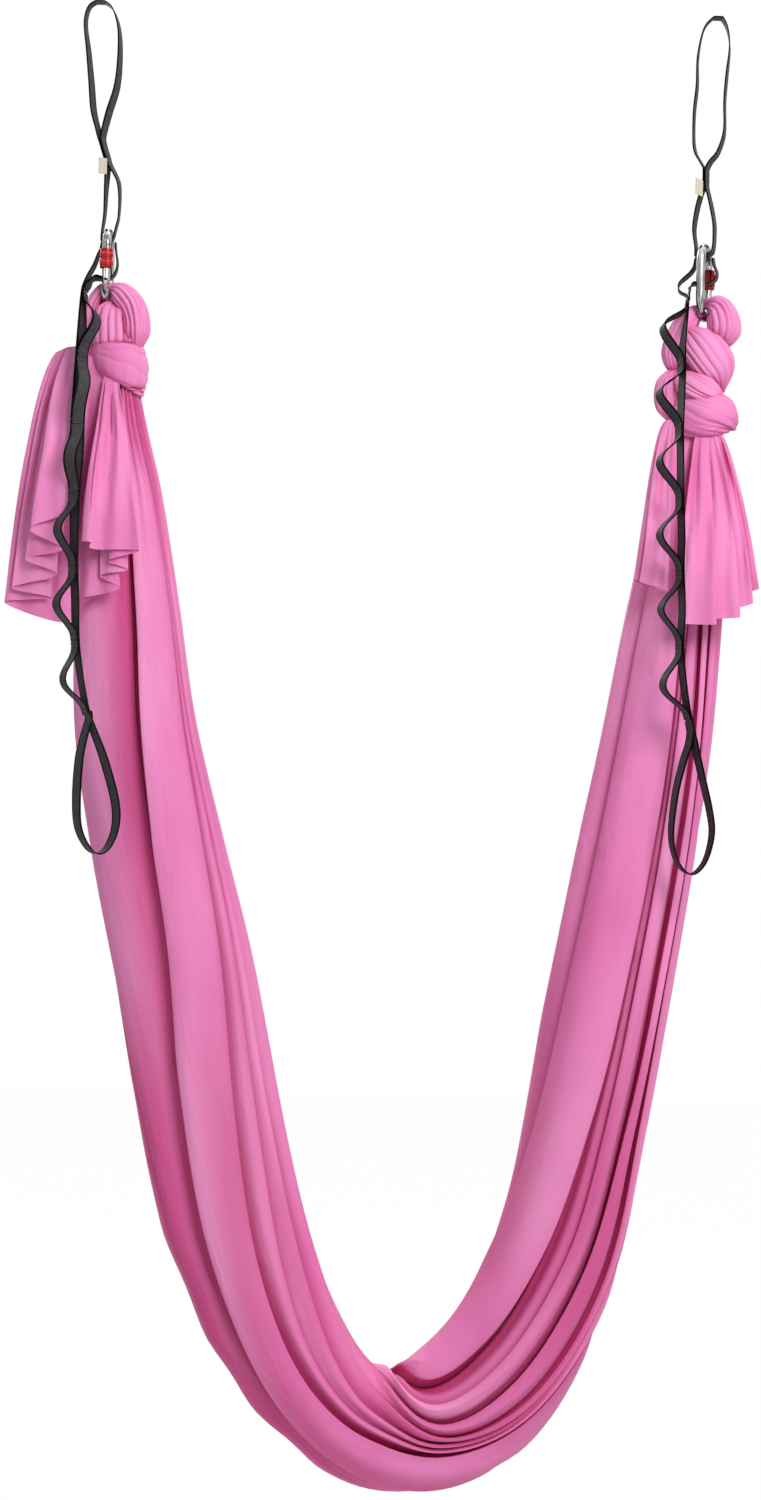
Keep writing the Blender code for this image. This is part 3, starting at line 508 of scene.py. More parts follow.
@look
def tag_satin(tree, shader):
    """Woven polyester tag: a flat, slightly yellowed satin with 0.6 mm threads."""
    place = (add(tree, "TexCoord"), "Object")
    threads = (add(tree, "TexWave", {"bands_direction": "Z", "Scale": 520.0, "Vector": place}), "Fac")
    tint = add(tree, "Mix", {"data_type": "RGBA", 0: threads, 6: colour("tag"), 7: linear("#BDB49C")})
    bump = add(tree, "Bump", {"Strength": 0.3, "Distance": 0.0002, "Height": threads})
    wire(tree, shader, {"Base Color": (tint, 2), "Normal": bump, "Roughness": 0.6, "Sheen Weight": 0.2})


# Sling

# The gathered cloth from knot to knot, in millimetres: x and z of its outer edge, of its inner edge, depth.
SLING_OUTLINE = [
    (-411, -533, -364, -546.4, 44), (-422, -604, -352, -600, 62), (-435, -700, -328, -690, 92),
    (-449, -850, -300, -838, 130), (-447, -1010, -273, -1000, 156), (-418, -1178, -232, -1160, 172),
    (-384, -1350, -188, -1322, 182), (-351, -1535, -148, -1508, 188), (-298, -1750, -98, -1702, 192),
    (-196, -1944, -48, -1828, 194), (-52, -2052, 2, -1898, 196), (100, -2074, 58, -1880, 194),
    (238, -1970, 124, -1800, 192), (331, -1775, 176, -1662, 188), (375, -1540, 206, -1520, 182),
    (404, -1345, 234, -1330, 172), (430, -1170, 262, -1165, 158), (449, -1010, 292, -1010, 140),
    (460, -850, 320, -850, 116), (466, -720, 348, -714, 88), (456, -640, 374, -640, 62),
    (449, -596.4, 407, -596.4, 44),
]
# Where each fold's edge runs, in hundredths. 0 is the outer edge of the U, 100 its inner edge, and the front
# lies between; below 0 and above 100 is the back. One column for each share of the way between the knots.
FOLD_SHARES = (0.0, 0.15, 0.25, 0.35, 0.43, 0.49, 0.53, 0.57, 0.63, 0.70, 0.80, 1.0)
# Each row: the edge's run, then the levels at which the cloth to its right starts and ends, as hundredths of
# the bundle's radius.
FOLDS = [
    ((-62, -60, -55, -50, -50, -60, -75, -85, -95, -100, -102, -102), 88, 100),
    ((-22, -15, -12, -10, -12, -22, -38, -52, -62, -70, -72, -72), 92, 92),
    ((10, 8, 3, 13, 12, 0, -18, -32, -44, -50, -52, -50), 100, 76),
    ((44, 60, 46, 33, 26, 13, 4, -12, -28, -35, -38, -34), 74, 72),
    ((52, 66, 52, 39, 32, 20, 11, -6, -20, -25, -27, -20), 99, 100),
    ((80, 90, 83, 67, 55, 46, 31, 12, -6, -12, -15, -8), 80, 96),
    ((87, 95, 92, 82, 70, 60, 38, 17, -1, -5, -7, 5), 93, 98),
    ((96, 98, 97, 92, 84, 72, 43, 21, 4, 0, 1, 15), 88, 102),
    ((104, 104, 103, 99, 97, 84, 48, 26, 9, 6, 8, 22), 90, 100),
    ((112, 112, 110, 108, 106, 95, 56, 41, 23, 13, 15, 32), 86, 100),
    ((119, 118, 117, 116, 114, 104, 69, 56, 40, 31, 30, 46), 92, 76),
    ((126, 125, 125, 124, 122, 112, 88, 80, 64, 47, 46, 60), 100, 100),
    ((134, 134, 136, 140, 138, 128, 106, 102, 96, 86, 80, 84), 86, 99),
]
# One fold's edge, from the upper cloth round into the valley and out on the lower one: how many laps from the
# edge, whether at the top, deep or lower level, and how far below that level in metres.
FOLD_EDGE = (
    (1, "top", 0), (1.15, "top", 0.0022), (0.5, "top", 0.0045), (-0.6, "top", 0.009), (-0.9, "deep", 0),
    (-0.3, "deep", 0), (-0.1, "low", 0.006), (0.3, "low", 0.001),
)
# The length of cloth between the knots.
SLING_LENGTH = 3.31
# How many rows of points the sling has between the knots.
SLING_STATIONS = 120
# The outer panel of the left limb hangs in shallow scallops, this deep and so many from knot to knot.
SCALLOP_DEPTH, SCALLOPS = 0.010, 32
# How far off the cloth across a valley may be to close it in and give it painted shade.
SHADE_REACH = {"sling": 0.06, "knot": 0.02, "loose_end": 0.03}
# The least angles, in turns, between the edges of two folds and before the free edge.
EDGE_SPACING = 0.014
FREE_EDGE_ROOM = 0.02


def sling_ring(t):
    """Middle, half-width and half-depth of the bundle at a share of the way between the knots."""
    spans = len(SLING_OUTLINE) - 1
    place = max(0.0, min(1.0, t)) * spans
    k = min(int(place), spans - 1)
    outer_x, outer_z, inner_x, inner_z, depth = on_span(SLING_OUTLINE, k, place - k)
    outside, inside = Vector((outer_x, 0, outer_z)) * MM, Vector((inner_x, 0, inner_z)) * MM
    return (outside + inside) / 2, (inside - outside) / 2, depth / 2 * MM


def fold_angle(q):
    """The angle round the bundle, in turns, of a fold's place q across it."""
    n = math.floor(q)
    return 0.5 + 0.5 * n + math.acos(max(-1.0, min(1.0, 1 - 2 * (q - n)))) / TAU


def outer(place, middle, half):
    """How far out a point of the sling lies: -1 at the inner edge of the bundle, 1 at the outer one."""
    return -(place - middle).dot(half) / half.length_squared


def lower_left(t, place, start):
    """1 on the lower part of the left limb, fading to 0 above it and towards the seat."""
    return smooth_step((-place.z - start) / 0.3) * smooth_step((0.49 - t) / 0.04)


def sling_row(t, lap, depth):
    """One row of the cloth's points, from selvedge to selvedge round the bundle."""
    centre, half, half_y = sling_ring(t)
    inward, half_x = half.normalized(), half.length
    # Laps and valleys shrink with the bundle towards the knots.
    size = min(1.0, half_x / 0.085)
    gap = 0.006 * size / half_x

    def point(a, level, sink=0.0):
        c, s = math.cos(TAU * a), math.sin(TAU * a)
        level -= sink * size / math.hypot(half_x * c, half_y * s)
        return centre + inward * (half_x * level * c) + Vector((0, half_y * level * s, 0))

    def turns(a, length):
        """A length along the bundle's outside, as turns."""
        return length / (TAU * math.hypot(half_x * math.sin(TAU * a), half_y * math.cos(TAU * a)))

    edges = [
        fold_angle(curve_at(FOLD_SHARES, [q / 100 for q in run], t)) + 0.006 * wander(n * 3.7, t * 9)
        for n, (run, _, _) in enumerate(FOLDS)
    ]
    last = len(edges) - 1
    for n in range(1, last + 1):
        edges[n] = max(edges[n], edges[n - 1] + EDGE_SPACING)
    close = edges[0] + 1.0
    for n in range(last, 0, -1):
        edges[n] = min(edges[n], close - FREE_EDGE_ROOM - EDGE_SPACING * (last - n))
    edges.append(close + turns(close, 0.012) * size)
    # Each edge: its angle, the levels of the cloth to its left and right, and how far it laps.
    lefts = [None, *(end / 100 for _, _, end in FOLDS)]
    rights = [*(start / 100 for _, start, _ in FOLDS), None]
    folds = []
    for n, (a, left, right) in enumerate(zip(edges, lefts, rights)):
        room = min(a - edges[n - 1] if n else 1.0, edges[n + 1] - a if n <= last else 1.0)
        step = turns(a, lap) * size * (0.8 + 0.4 * wander(n * 5.1, t * 7))
        folds.append((a, left, right, min(step, room * 0.4)))
    rise = smooth_step(min(t, 1 - t) / 0.06)
    gathered = 1 - smooth_step(min(t, 1 - t) / 0.2)
    row = []
    for n, (a, left, right, step) in enumerate(folds):
        if left is None:
            row += [point(a, right * 0.9), point(a + step * 0.5, right)]
            begin, level = a + step, right
        elif right is None:
            row += [point(a, left), point(a + step * 0.3, left, 0.0015)]
            break
        else:
            side = 1 if left >= right else -1
            top = max(left, right)
            low = min(left, right, top - gap)
            levels = {"top": top, "low": low, "deep": 1 - depth * (0.45 + 0.55 * rise)}
            edge = [point(a + side * step * far, levels[name], sink) for far, name, sink in FOLD_EDGE]
            row += edge[::side]
            begin, level = (a + step * 1.2, low) if side == 1 else (a - step * 0.6, top)
        # The cloth between this fold and the next.
        end, end_level, beyond, end_step = folds[n + 1]
        if beyond is None:
            end -= end_step * 0.6
        elif end_level < beyond:
            end_level = min(end_level, beyond - gap)
            end -= end_step * 1.2
        else:
            end += end_step * 0.6
        for k in range(1, 9):
            f = k / 9
            lev = level + (end_level - level) * smooth_step(f if end_level < level else f * 1.2)
            lev += 0.035 * math.sin(math.pi * f) * rise
            lev += 0.032 * wander(n * 2.3 + f * 2.2, t * 6, 5.0) * rise
            lev += 0.0056 * math.cos(TAU * f * 3 + n) * gathered / half_x
            row.append(point(begin + (end - begin) * f, lev))
    return row


class HAMMOCK_OT_sling(bpy.types.Operator):
    """Builds the sling: one cloth gathered lengthwise, its folds lapping like shingles round the bundle"""
    bl_idname = "hammock.sling"
    bl_label = "Sling"

    def execute(self, context):
        shares = [k / SLING_STATIONS for k in range(SLING_STATIONS + 1)]
        rows = [sling_row(t, sizes().fold_lap, sizes().fold_depth) for t in shares]
        # Both ends reach a little way up into their knots.
        for end, inside in ((0, Vector((0.004, 0, 0.022))), (-1, Vector((-0.002, 0, 0.022)))):
            middle = sum(rows[end], Vector()) / len(rows[end])
            tucked = [middle + (p - middle) * 0.7 + inside for p in rows[end]]
            rows = [tucked, *rows] if end == 0 else [*rows, tucked]
        shares = [-0.01, *shares, 1.01]
        # Painted shade for the colour: points deep inside the bundle, the outer panel low on the left limb,
        # which faces away from the light, and broad patches low in the seat.
        least_shade = []
        for t, row in zip(shares, rows):
            middle, half, half_y = sling_ring(t)
            dip = SCALLOP_DEPTH * abs(math.sin(math.pi * SCALLOPS * t))
            for k, place in enumerate(row):
                low = smooth_step((outer(place, middle, half) - 0.40) / 0.4) * lower_left(t, place, 1.60)
                place += (middle - place).normalized() * (dip * low)
                out = place - middle
                level = math.hypot(out.dot(half) / half.length_squared, out.y / half_y)
                behind = smooth_step((outer(place, middle, half) - 0.40) / 0.2) * lower_left(t, place, 1.25)
                # Painted shade in broad patches low in the seat, each about as wide as a fold.
                seat = smooth_step((-place.z - 1.1) / 0.6)
                patch = 0.65 * seat * smooth_step(0.42 + 0.8 * wander(k * 0.11, t * 7, 8.0))
                least_shade.append(max(0.85 * smooth_step((0.99 - level) / 0.24), 0.765 * behind, patch))
        across = [0.0]
        middle_row = rows[SLING_STATIONS // 2]
        for a, b in zip(middle_row, middle_row[1:]):
            across.append(across[-1] + (b - a).length)
        uvs = [(u, t * SLING_LENGTH) for t in shares for u in across]
        faces = [face[::-1] for face in grid(rows)]
        obj = piece("hammock_cloth", [p for row in rows for p in row], faces, nylon_tricot(), uvs)
        mark_valleys(obj, SHADE_REACH["sling"], least_shade=least_shade)
        soft = obj.modifiers.new("soft folds", "SUBSURF")
        soft.levels = soft.render_levels = 1
        soft.uv_smooth = "NONE"
        settle(obj)
        stand_in(obj, "pink_cloth", "hammock", "hammock_sling")
        return {"FINISHED"}


# Knots

# Strands of gathered cloth: x, y, z, half-width, half-thickness, all in millimetres, and the turn of the
# width from along Y, at 0, to flat to the viewer, at 90.
STRANDS = {
    "left": {
        "over": [
            (-424, 4, -508, 18, 12, 0), (-432, 4, -486, 20, 13, 0), (-437, 3, -456, 22, 13, 0),
            (-431, 1, -422, 19, 11, 0), (-418, 0, -402.5, 15, 10, 0), (-405, 0, -402, 16, 11, 0),
            (-391, -2, -409, 28, 19, 0), (-377, -3, -425, 34, 20, 0), (-370, -3, -447, 36, 19, 0),
            (-370, -2, -470, 35, 18, 0), (-372, -1, -498, 28, 13, 0),
        ],
        "under": [
            (-394, -3, -414, 14, 14, 90), (-400, -4, -428, 25, 24, 90), (-402, -5, -446, 31, 30, 90),
            (-401, -5, -464, 33, 32, 90), (-400, -4, -482, 32, 31, 90), (-398, -3, -504, 24, 24, 90),
        ],
    },
    "right": {
        "leg": [
            (424, 2, -401, 13, 8, 0), (411, 0, -412, 16, 12, 30), (396, -2, -434, 20, 16, 50),
            (387, 0, -458, 22, 15, 60), (383, 4, -482, 18, 14, 60), (390, 10, -500, 14, 11, 60),
        ],
        "over": [
            (419, 2, -403, 13, 9, 0), (432, -1, -401, 21, 14, 0), (444, -3, -408, 30, 21, 0),
            (451, -4, -426, 35, 24, 0), (451, -4, -447, 34, 23, 0), (443, 0, -468, 26, 17, 0),
        ],
        "cross": [
            (396, 2, -432, 17, 14, 90), (410, -11, -450, 27, 18, 90), (428, -21, -474, 31, 19, 90),
            (445, -16, -497, 28, 19, 90), (449, 0, -522, 19, 15, 90),
        ],
        "behind": [
            (456, 8, -446, 20, 15, 90), (440, 19, -470, 30, 18, 90), (414, 20, -494, 28, 18, 90),
            (400, 8, -520, 20, 14, 90),
        ],
        "low_left": [
            (396, 8, -490, 14, 10, 90), (383, 4, -505, 20, 16, 75), (378, 2, -528, 22, 18, 75),
            (383, 4, -551, 20, 16, 75), (392, 8, -572, 14, 13, 75),
        ],
        "band": [
            (381, 8, -494, 14, 10, 90), (395, -12, -508, 20, 13, 90), (416, -24, -520, 22, 14, 90),
            (438, -22, -528, 17, 13, 90), (454, -6, -533, 10, 8, 90),
        ],
        "wrap": [
            (400, 14, -562, 15, 10, 90), (391, 4, -562, 23, 13, 90), (399, -15, -561, 30, 16, 90),
            (421, -27, -560, 32, 17, 90), (444, -22, -556, 30, 18, 90), (459, -5, -554, 26, 15, 90),
            (457, 13, -553, 23, 14, 90), (440, 24, -556, 24, 14, 90), (414, 24, -560, 24, 14, 90),
            (396, 14, -562, 18, 11, 90), (394, 2, -562, 12, 8, 90),
        ],
    },
}
# How fast a strand's pleats run round it, in turns a metre.
PLEAT_TWISTS = {"wrap": 4.0, "band": 1.5, "leg": -2.0}
# The CAD forms of each knot.
KNOT_FORMS = {"left": ("bight", "wrap"), "right": ("bight", "middle", "wrap", "side")}
# The smooth band round the neck of the left knot: its middle and radii in millimetres, and its creases. A
# crease is its height at the front, from 0 at the lower edge to 1 at the upper one, its rise from there to
# the right side, and its depth in millimetres.
BAND_MIDDLE = (-392.5, -1, -506)
BAND_RADII = (40, 39)
BAND_SLOPE = 0.30
BAND_CREASES = [
    (0.03, 0.26, 4.5), (0.10, 0.30, 4.0), (0.00, 0.12, 3.5), (0.20, 0.16, 2.0), (0.52, -0.05, 1.2),
    (0.66, 0.04, 1.6), (0.80, 0.06, 2.2),
]
# Points round every strand and round the band.
AROUND = 144


def strand(path, pleats, seed, twist):
    """Rows of points round one strand, with pleats that run along it and drift slowly round it."""
    steps = 9
    rows = spline(path, steps)
    places = [Vector(row[:3]) for row in rows]
    across = Vector((0, 1, 0))
    length = turned = 0.0
    out = []
    for i, (*_, half_w, half_t, turn) in enumerate(rows):
        here = places[i] * MM
        ahead = ahead_at(places, i)
        length += (here - places[max(i - 1, 0)] * MM).length
        across = (across - ahead * across.dot(ahead)).normalized()
        across = Matrix.Rotation(math.radians(turn - turned), 3, ahead) @ across
        turned = turn
        face = ahead.cross(across)
        # The strand closes to a third at its two ends.
        close = 0.35 + 0.65 * smooth_step(min(i, len(rows) - 1 - i) / (1.5 * steps))
        ring = []
        for k in range(AROUND):
            a = TAU * k / AROUND
            level = 1.0
            for n in range(pleats):
                at = (n + 0.45 * wander(n * 7.3, seed)) / pleats + twist * length
                at += 0.012 * wander(n * 3.1, seed + 2.0, length * 14)
                off = (k / AROUND - at + 0.5) % 1.0 - 0.5
                sharp = 0.013 + 0.006 * wander(n * 2.1, seed, 4.0)
                strong = 0.15 + 0.12 * wander(n * 1.7, seed, length * 12)
                level -= max(0.03, strong) * math.exp(-abs(off) / max(sharp, 0.006))
            level += 0.03 * wander(math.cos(a) * 1.5 + seed, math.sin(a) * 1.5, length * 25)
            wide, thick = (math.copysign(abs(v) ** 0.85, v) for v in (math.cos(a), math.sin(a)))
            reach = MM * close * level
            ring.append(here + across * (wide * half_w * reach) + face * (thick * half_t * reach))
        out.append(ring)
    return out


def band_rows():
    """Rows of points over the band of cloth drawn tight round the left neck, wider on its right side."""
    rows = 100
    out = []
    for j in range(rows + 1):
        p = j / rows
        bend = math.radians(-118 + 236 * p)
        row = []
        for k in range(AROUND):
            a = TAU * k / AROUND
            ahead = math.remainder(a + math.pi / 2, TAU) / (math.pi / 2)
            fade = smooth_step(1.4 - abs(ahead - 0.6)) * smooth_step((p - 0.02) * 12)
            depth = 0.0
            for level, rise, strong in BAND_CREASES:
                off = p - level - rise * ahead - 0.05 * wander(level * 9, ahead * 2)
                depth += 1.5 * strong * fade * math.exp(-abs(off) / 0.024)
            reach = 10 * math.cos(bend) - 9 - depth + 0.9 * wander(a * 1.1, p * 3, 2.0)
            x = (BAND_RADII[0] + reach) * math.cos(a)
            y = (BAND_RADII[1] + reach) * math.sin(a)
            z = (28 + 8 * math.cos(a)) * math.sin(bend) - BAND_SLOPE * x
            row.append((Vector(BAND_MIDDLE) + Vector((x, y, z))) * MM)
        out.append(row)
    return out


def join_skins(name, skins, material):
    """One piece of several skins of (rows, joined round, capped), with their UVs in metres."""
    verts, faces, uvs = [], [], []
    for rows, wrap, capped in skins:
        base = len(verts)
        wide = len(rows[0])
        run = 0.0
        # The widest row sets the map's width, so that the knit runs straight along the cloth.
        girth = max(sum((a - b).length for a, b in zip(row, row[1:])) for row in rows)
        for i, row in enumerate(rows):
            run += sum((a - b).length for a, b in zip(row, rows[max(i - 1, 0)])) / wide
            verts += row
            uvs += [(girth * k / wide, run) for k in range(wide)]
        faces += [tuple(base + v for v in face) for face in grid(rows, wrap)]
        for i, order in ((0, 1), (len(rows) - 1, -1)) if capped else ():
            first = base + i * wide
            faces += [(len(verts), *(first + k, first + (k + 1) % wide)[::order]) for k in range(wide)]
            verts.append(sum(rows[i], Vector()) / wide)
            uvs.append((0.0, 0.0))
    made = piece(name, verts, faces, material, uvs)
    bm = bmesh.new()
    bm.from_mesh(made.data)
    bmesh.ops.recalc_face_normals(bm, faces=bm.faces)
    bm.to_mesh(made.data)
    bm.free()
    return made


class HAMMOCK_OT_knots(bpy.types.Operator):
    """Builds both knots from strands of gathered cloth that pass over and under each other"""
    bl_idname = "hammock.knots"
    bl_label = "Knots"

    def execute(self, context):
        for side, strands in STRANDS.items():
            skins = [
                (strand(path, sizes().strand_pleats, n * 3.3, PLEAT_TWISTS.get(key, 0.0)), True, True)
                for n, (key, path) in enumerate(strands.items())
            ]
            if side == "left":
                skins.append((band_rows(), True, False))
            obj = join_skins(f"{side}_knot", skins, nylon_tricot())
            # Painted shade in the close folds of the knot, stored for its colour.
            mark_valleys(obj, SHADE_REACH["knot"])
            stand_in(obj, "pink_cloth", "hammock", *(f"{side}_knot_{form}" for form in KNOT_FORMS[side]))
        return {"FINISHED"}


# Loose ends

# The folds of each loose end at its hem, from selvedge to selvedge: x, y and the height of the hem, in
# millimetres, and which of the two mouths it comes out of. A mouth is its place and how late it opens.
END_FOLDS = {
    "left": [
        (-441, -104, -724, 0), (-496, -98, -747, 0), (-452, -92, -773, 0), (-504, -86, -787, 0),
        (-461, -80, -807, 0), (-524, -73, -826, 0), (-470, -68, -838, 0), (-536, -63, -846, 0),
        (-456, -58, -871, 0), (-425, -60, -845, 1), (-407, -66, -828, 1), (-428, -72, -837, 1),
        (-375, -76, -824, 1), (-403, -81, -807, 1), (-364, -86, -798, 1), (-392, -91, -787, 1),
        (-349, -96, -772, 1), (-411, -100, -772, 1), (-415, -105, -763, 1), (-428, -106, -763, 1),
    ],
    "right": [
        (372, -92, -808, 0), (334, -86, -796, 0), (352, -80, -797, 0), (327, -73, -793, 0),
        (362, -66, -805, 0), (400, -58, -812, 1), (478, -60, -814, 1), (430, -66, -812, 1),
        (499, -71, -801, 1), (466, -77, -812, 1), (491, -83, -821, 1), (452, -88, -835, 1),
        (472, -94, -842, 1), (424, -98, -846, 1), (437, -105, -853, 1), (384, -104, -853, 1),
    ],
}
END_MOUTHS = {
    "left": [(-440, -12, -486, 0.40), (-404, -12, -528, 0.85)],
    "right": [(386, -6, -566, 0.6), (426, -10, -576, 0.6)],
}
END_SEEDS = {"left": 1.0, "right": 6.0}
# Rows of points down a loose end, and steps across each of its folds.
END_ROWS, END_STEPS = 44, 14
# Pitch, length and thickness of a hem stitch.
HEM_STITCH = (0.0034, 0.0026, 0.0006)


def end_rows(side):
    """Rows of points down a loose end that opens out from the knot's mouths into its folds."""
    seed = END_SEEDS[side]
    hem = spline(END_FOLDS[side], END_STEPS)
    rows = []
    for i in range(END_ROWS + 1):
        s = i / END_ROWS
        row = []
        for k, (x, y, z, mouth) in enumerate(hem):
            share = max(0.0, min(1.0, mouth))
            mx, my, mz, late = (p + (q - p) * share for p, q in zip(*END_MOUTHS[side]))
            mx += 0.22 * (x - mx)
            my += 0.16 * (y - my)
            sway = 2.2 * wander(k * 0.10, s * 2.5, seed) * smooth_step(s * 2)
            wave = math.sin(TAU * x / 37 + 3.0 * wander(x * 0.011, seed, s * 1.3))
            wave += 0.6 * math.sin(TAU * x / 17 + 4.0 * wander(x * 0.013, seed + 3.0, s * 1.1)) * (1.2 - s)
            ripple = 3.4 * wave * smooth_step(s * 4) * (1.1 - 0.4 * s)
            pinch = 1.5 * math.sin(k * 1.2) * (1 - smooth_step(s * 2.2))
            row.append(Vector((
                mx + (x - mx) * s ** late + sway * 0.6 + pinch,
                my + (y - my) * smooth_step(0.15 + s * 0.95) + sway + ripple,
                mz + (z - mz) * s,
            )) * MM)
        rows.append(row)
    return rows


def hem_lines(rows):
    """The seam that holds the hem, one row of points above the cut edge, on both faces of the cloth."""
    seam, edge = rows[-3], rows[-2]
    lines = ([], [])
    for k, place in enumerate(seam):
        along = ahead_at(seam, k)
        face = along.cross(edge[k] - place).normalized()
        for line, side in zip(lines, (1, -1)):
            line.append((place + face * (0.0003 * side), face * side, along))
    return lines


class HAMMOCK_OT_loose_ends(bpy.types.Operator):
    """Builds the loose end of the cloth below each knot, folded back and forth on itself"""
    bl_idname = "hammock.loose_ends"
    bl_label = "Loose ends"

    def execute(self, context):
        for side in SIDES:
            rows = end_rows(side)
            obj = join_skins(f"{side}_loose_end", [(rows, False, False)], nylon_tricot())
            # Painted shade in the close folds of the loose end, on whichever side is more open, stored for
            # its colour.
            mark_valleys(obj, SHADE_REACH["loose_end"], (1, -1))
            hem = stitches(f"{side}_hem_stitches", hem_lines(rows), hem_thread(), *HEM_STITCH)
            stand_in(hem, "pink_cloth", "hammock")
            stand_in(obj, "pink_cloth", "hammock", f"{side}_cloth_tail")
        return {"FINISHED"}


# Webbing

HOOKS = {"left": -0.432, "right": 0.432}
WEBBING_WIDTH = 0.020
SWING_DROP = 0.345
SEWN_GAP = 0.0006
# From the middle of a strand to the middle of the strand sewn to it.
STAND_OFF = 0.0018 + SEWN_GAP
POCKET_PITCH = 0.100
FIRST_POCKET_DROP = 0.004
# How far a pocket's end stays clear of the middle of its tack.
POCKET_INSET = 0.0004
TACK_LENGTH = 0.012
# Where the bars of a tack lie: each way from its middle on the load strand, from the end of a pocket, and
# from the end of the strap.
LOAD_BAR, POCKET_BARS, END_BARS = 0.0054, (0.0006, 0.0056), (0.002, 0.0048)
# A bar's threads: how far the outermost one stays inside the selvedge, and their length and thickness.
BAR_INSET, BAR_THREAD = 0.0018, (0.0026, 0.0012)
# The middle of the webbing where it lies over the hook.
LOOP_CREST = 0.0009
# Where the bars of a top loop's neck are sewn.
NECK_TACKS = (-0.190, -0.194, -0.222, -0.226)
# One half of the ring round a strip: shares of half its width and of half its thickness.
WEBBING_RING = (
    (1.0, 0.0), (0.985, 0.72), (0.93, 1.0), (0.82, 0.94), (0.5, 0.9), (0.0, 0.9), (-0.5, 0.9), (-0.82, 0.94),
    (-0.93, 1.0), (-0.985, 0.72),
)
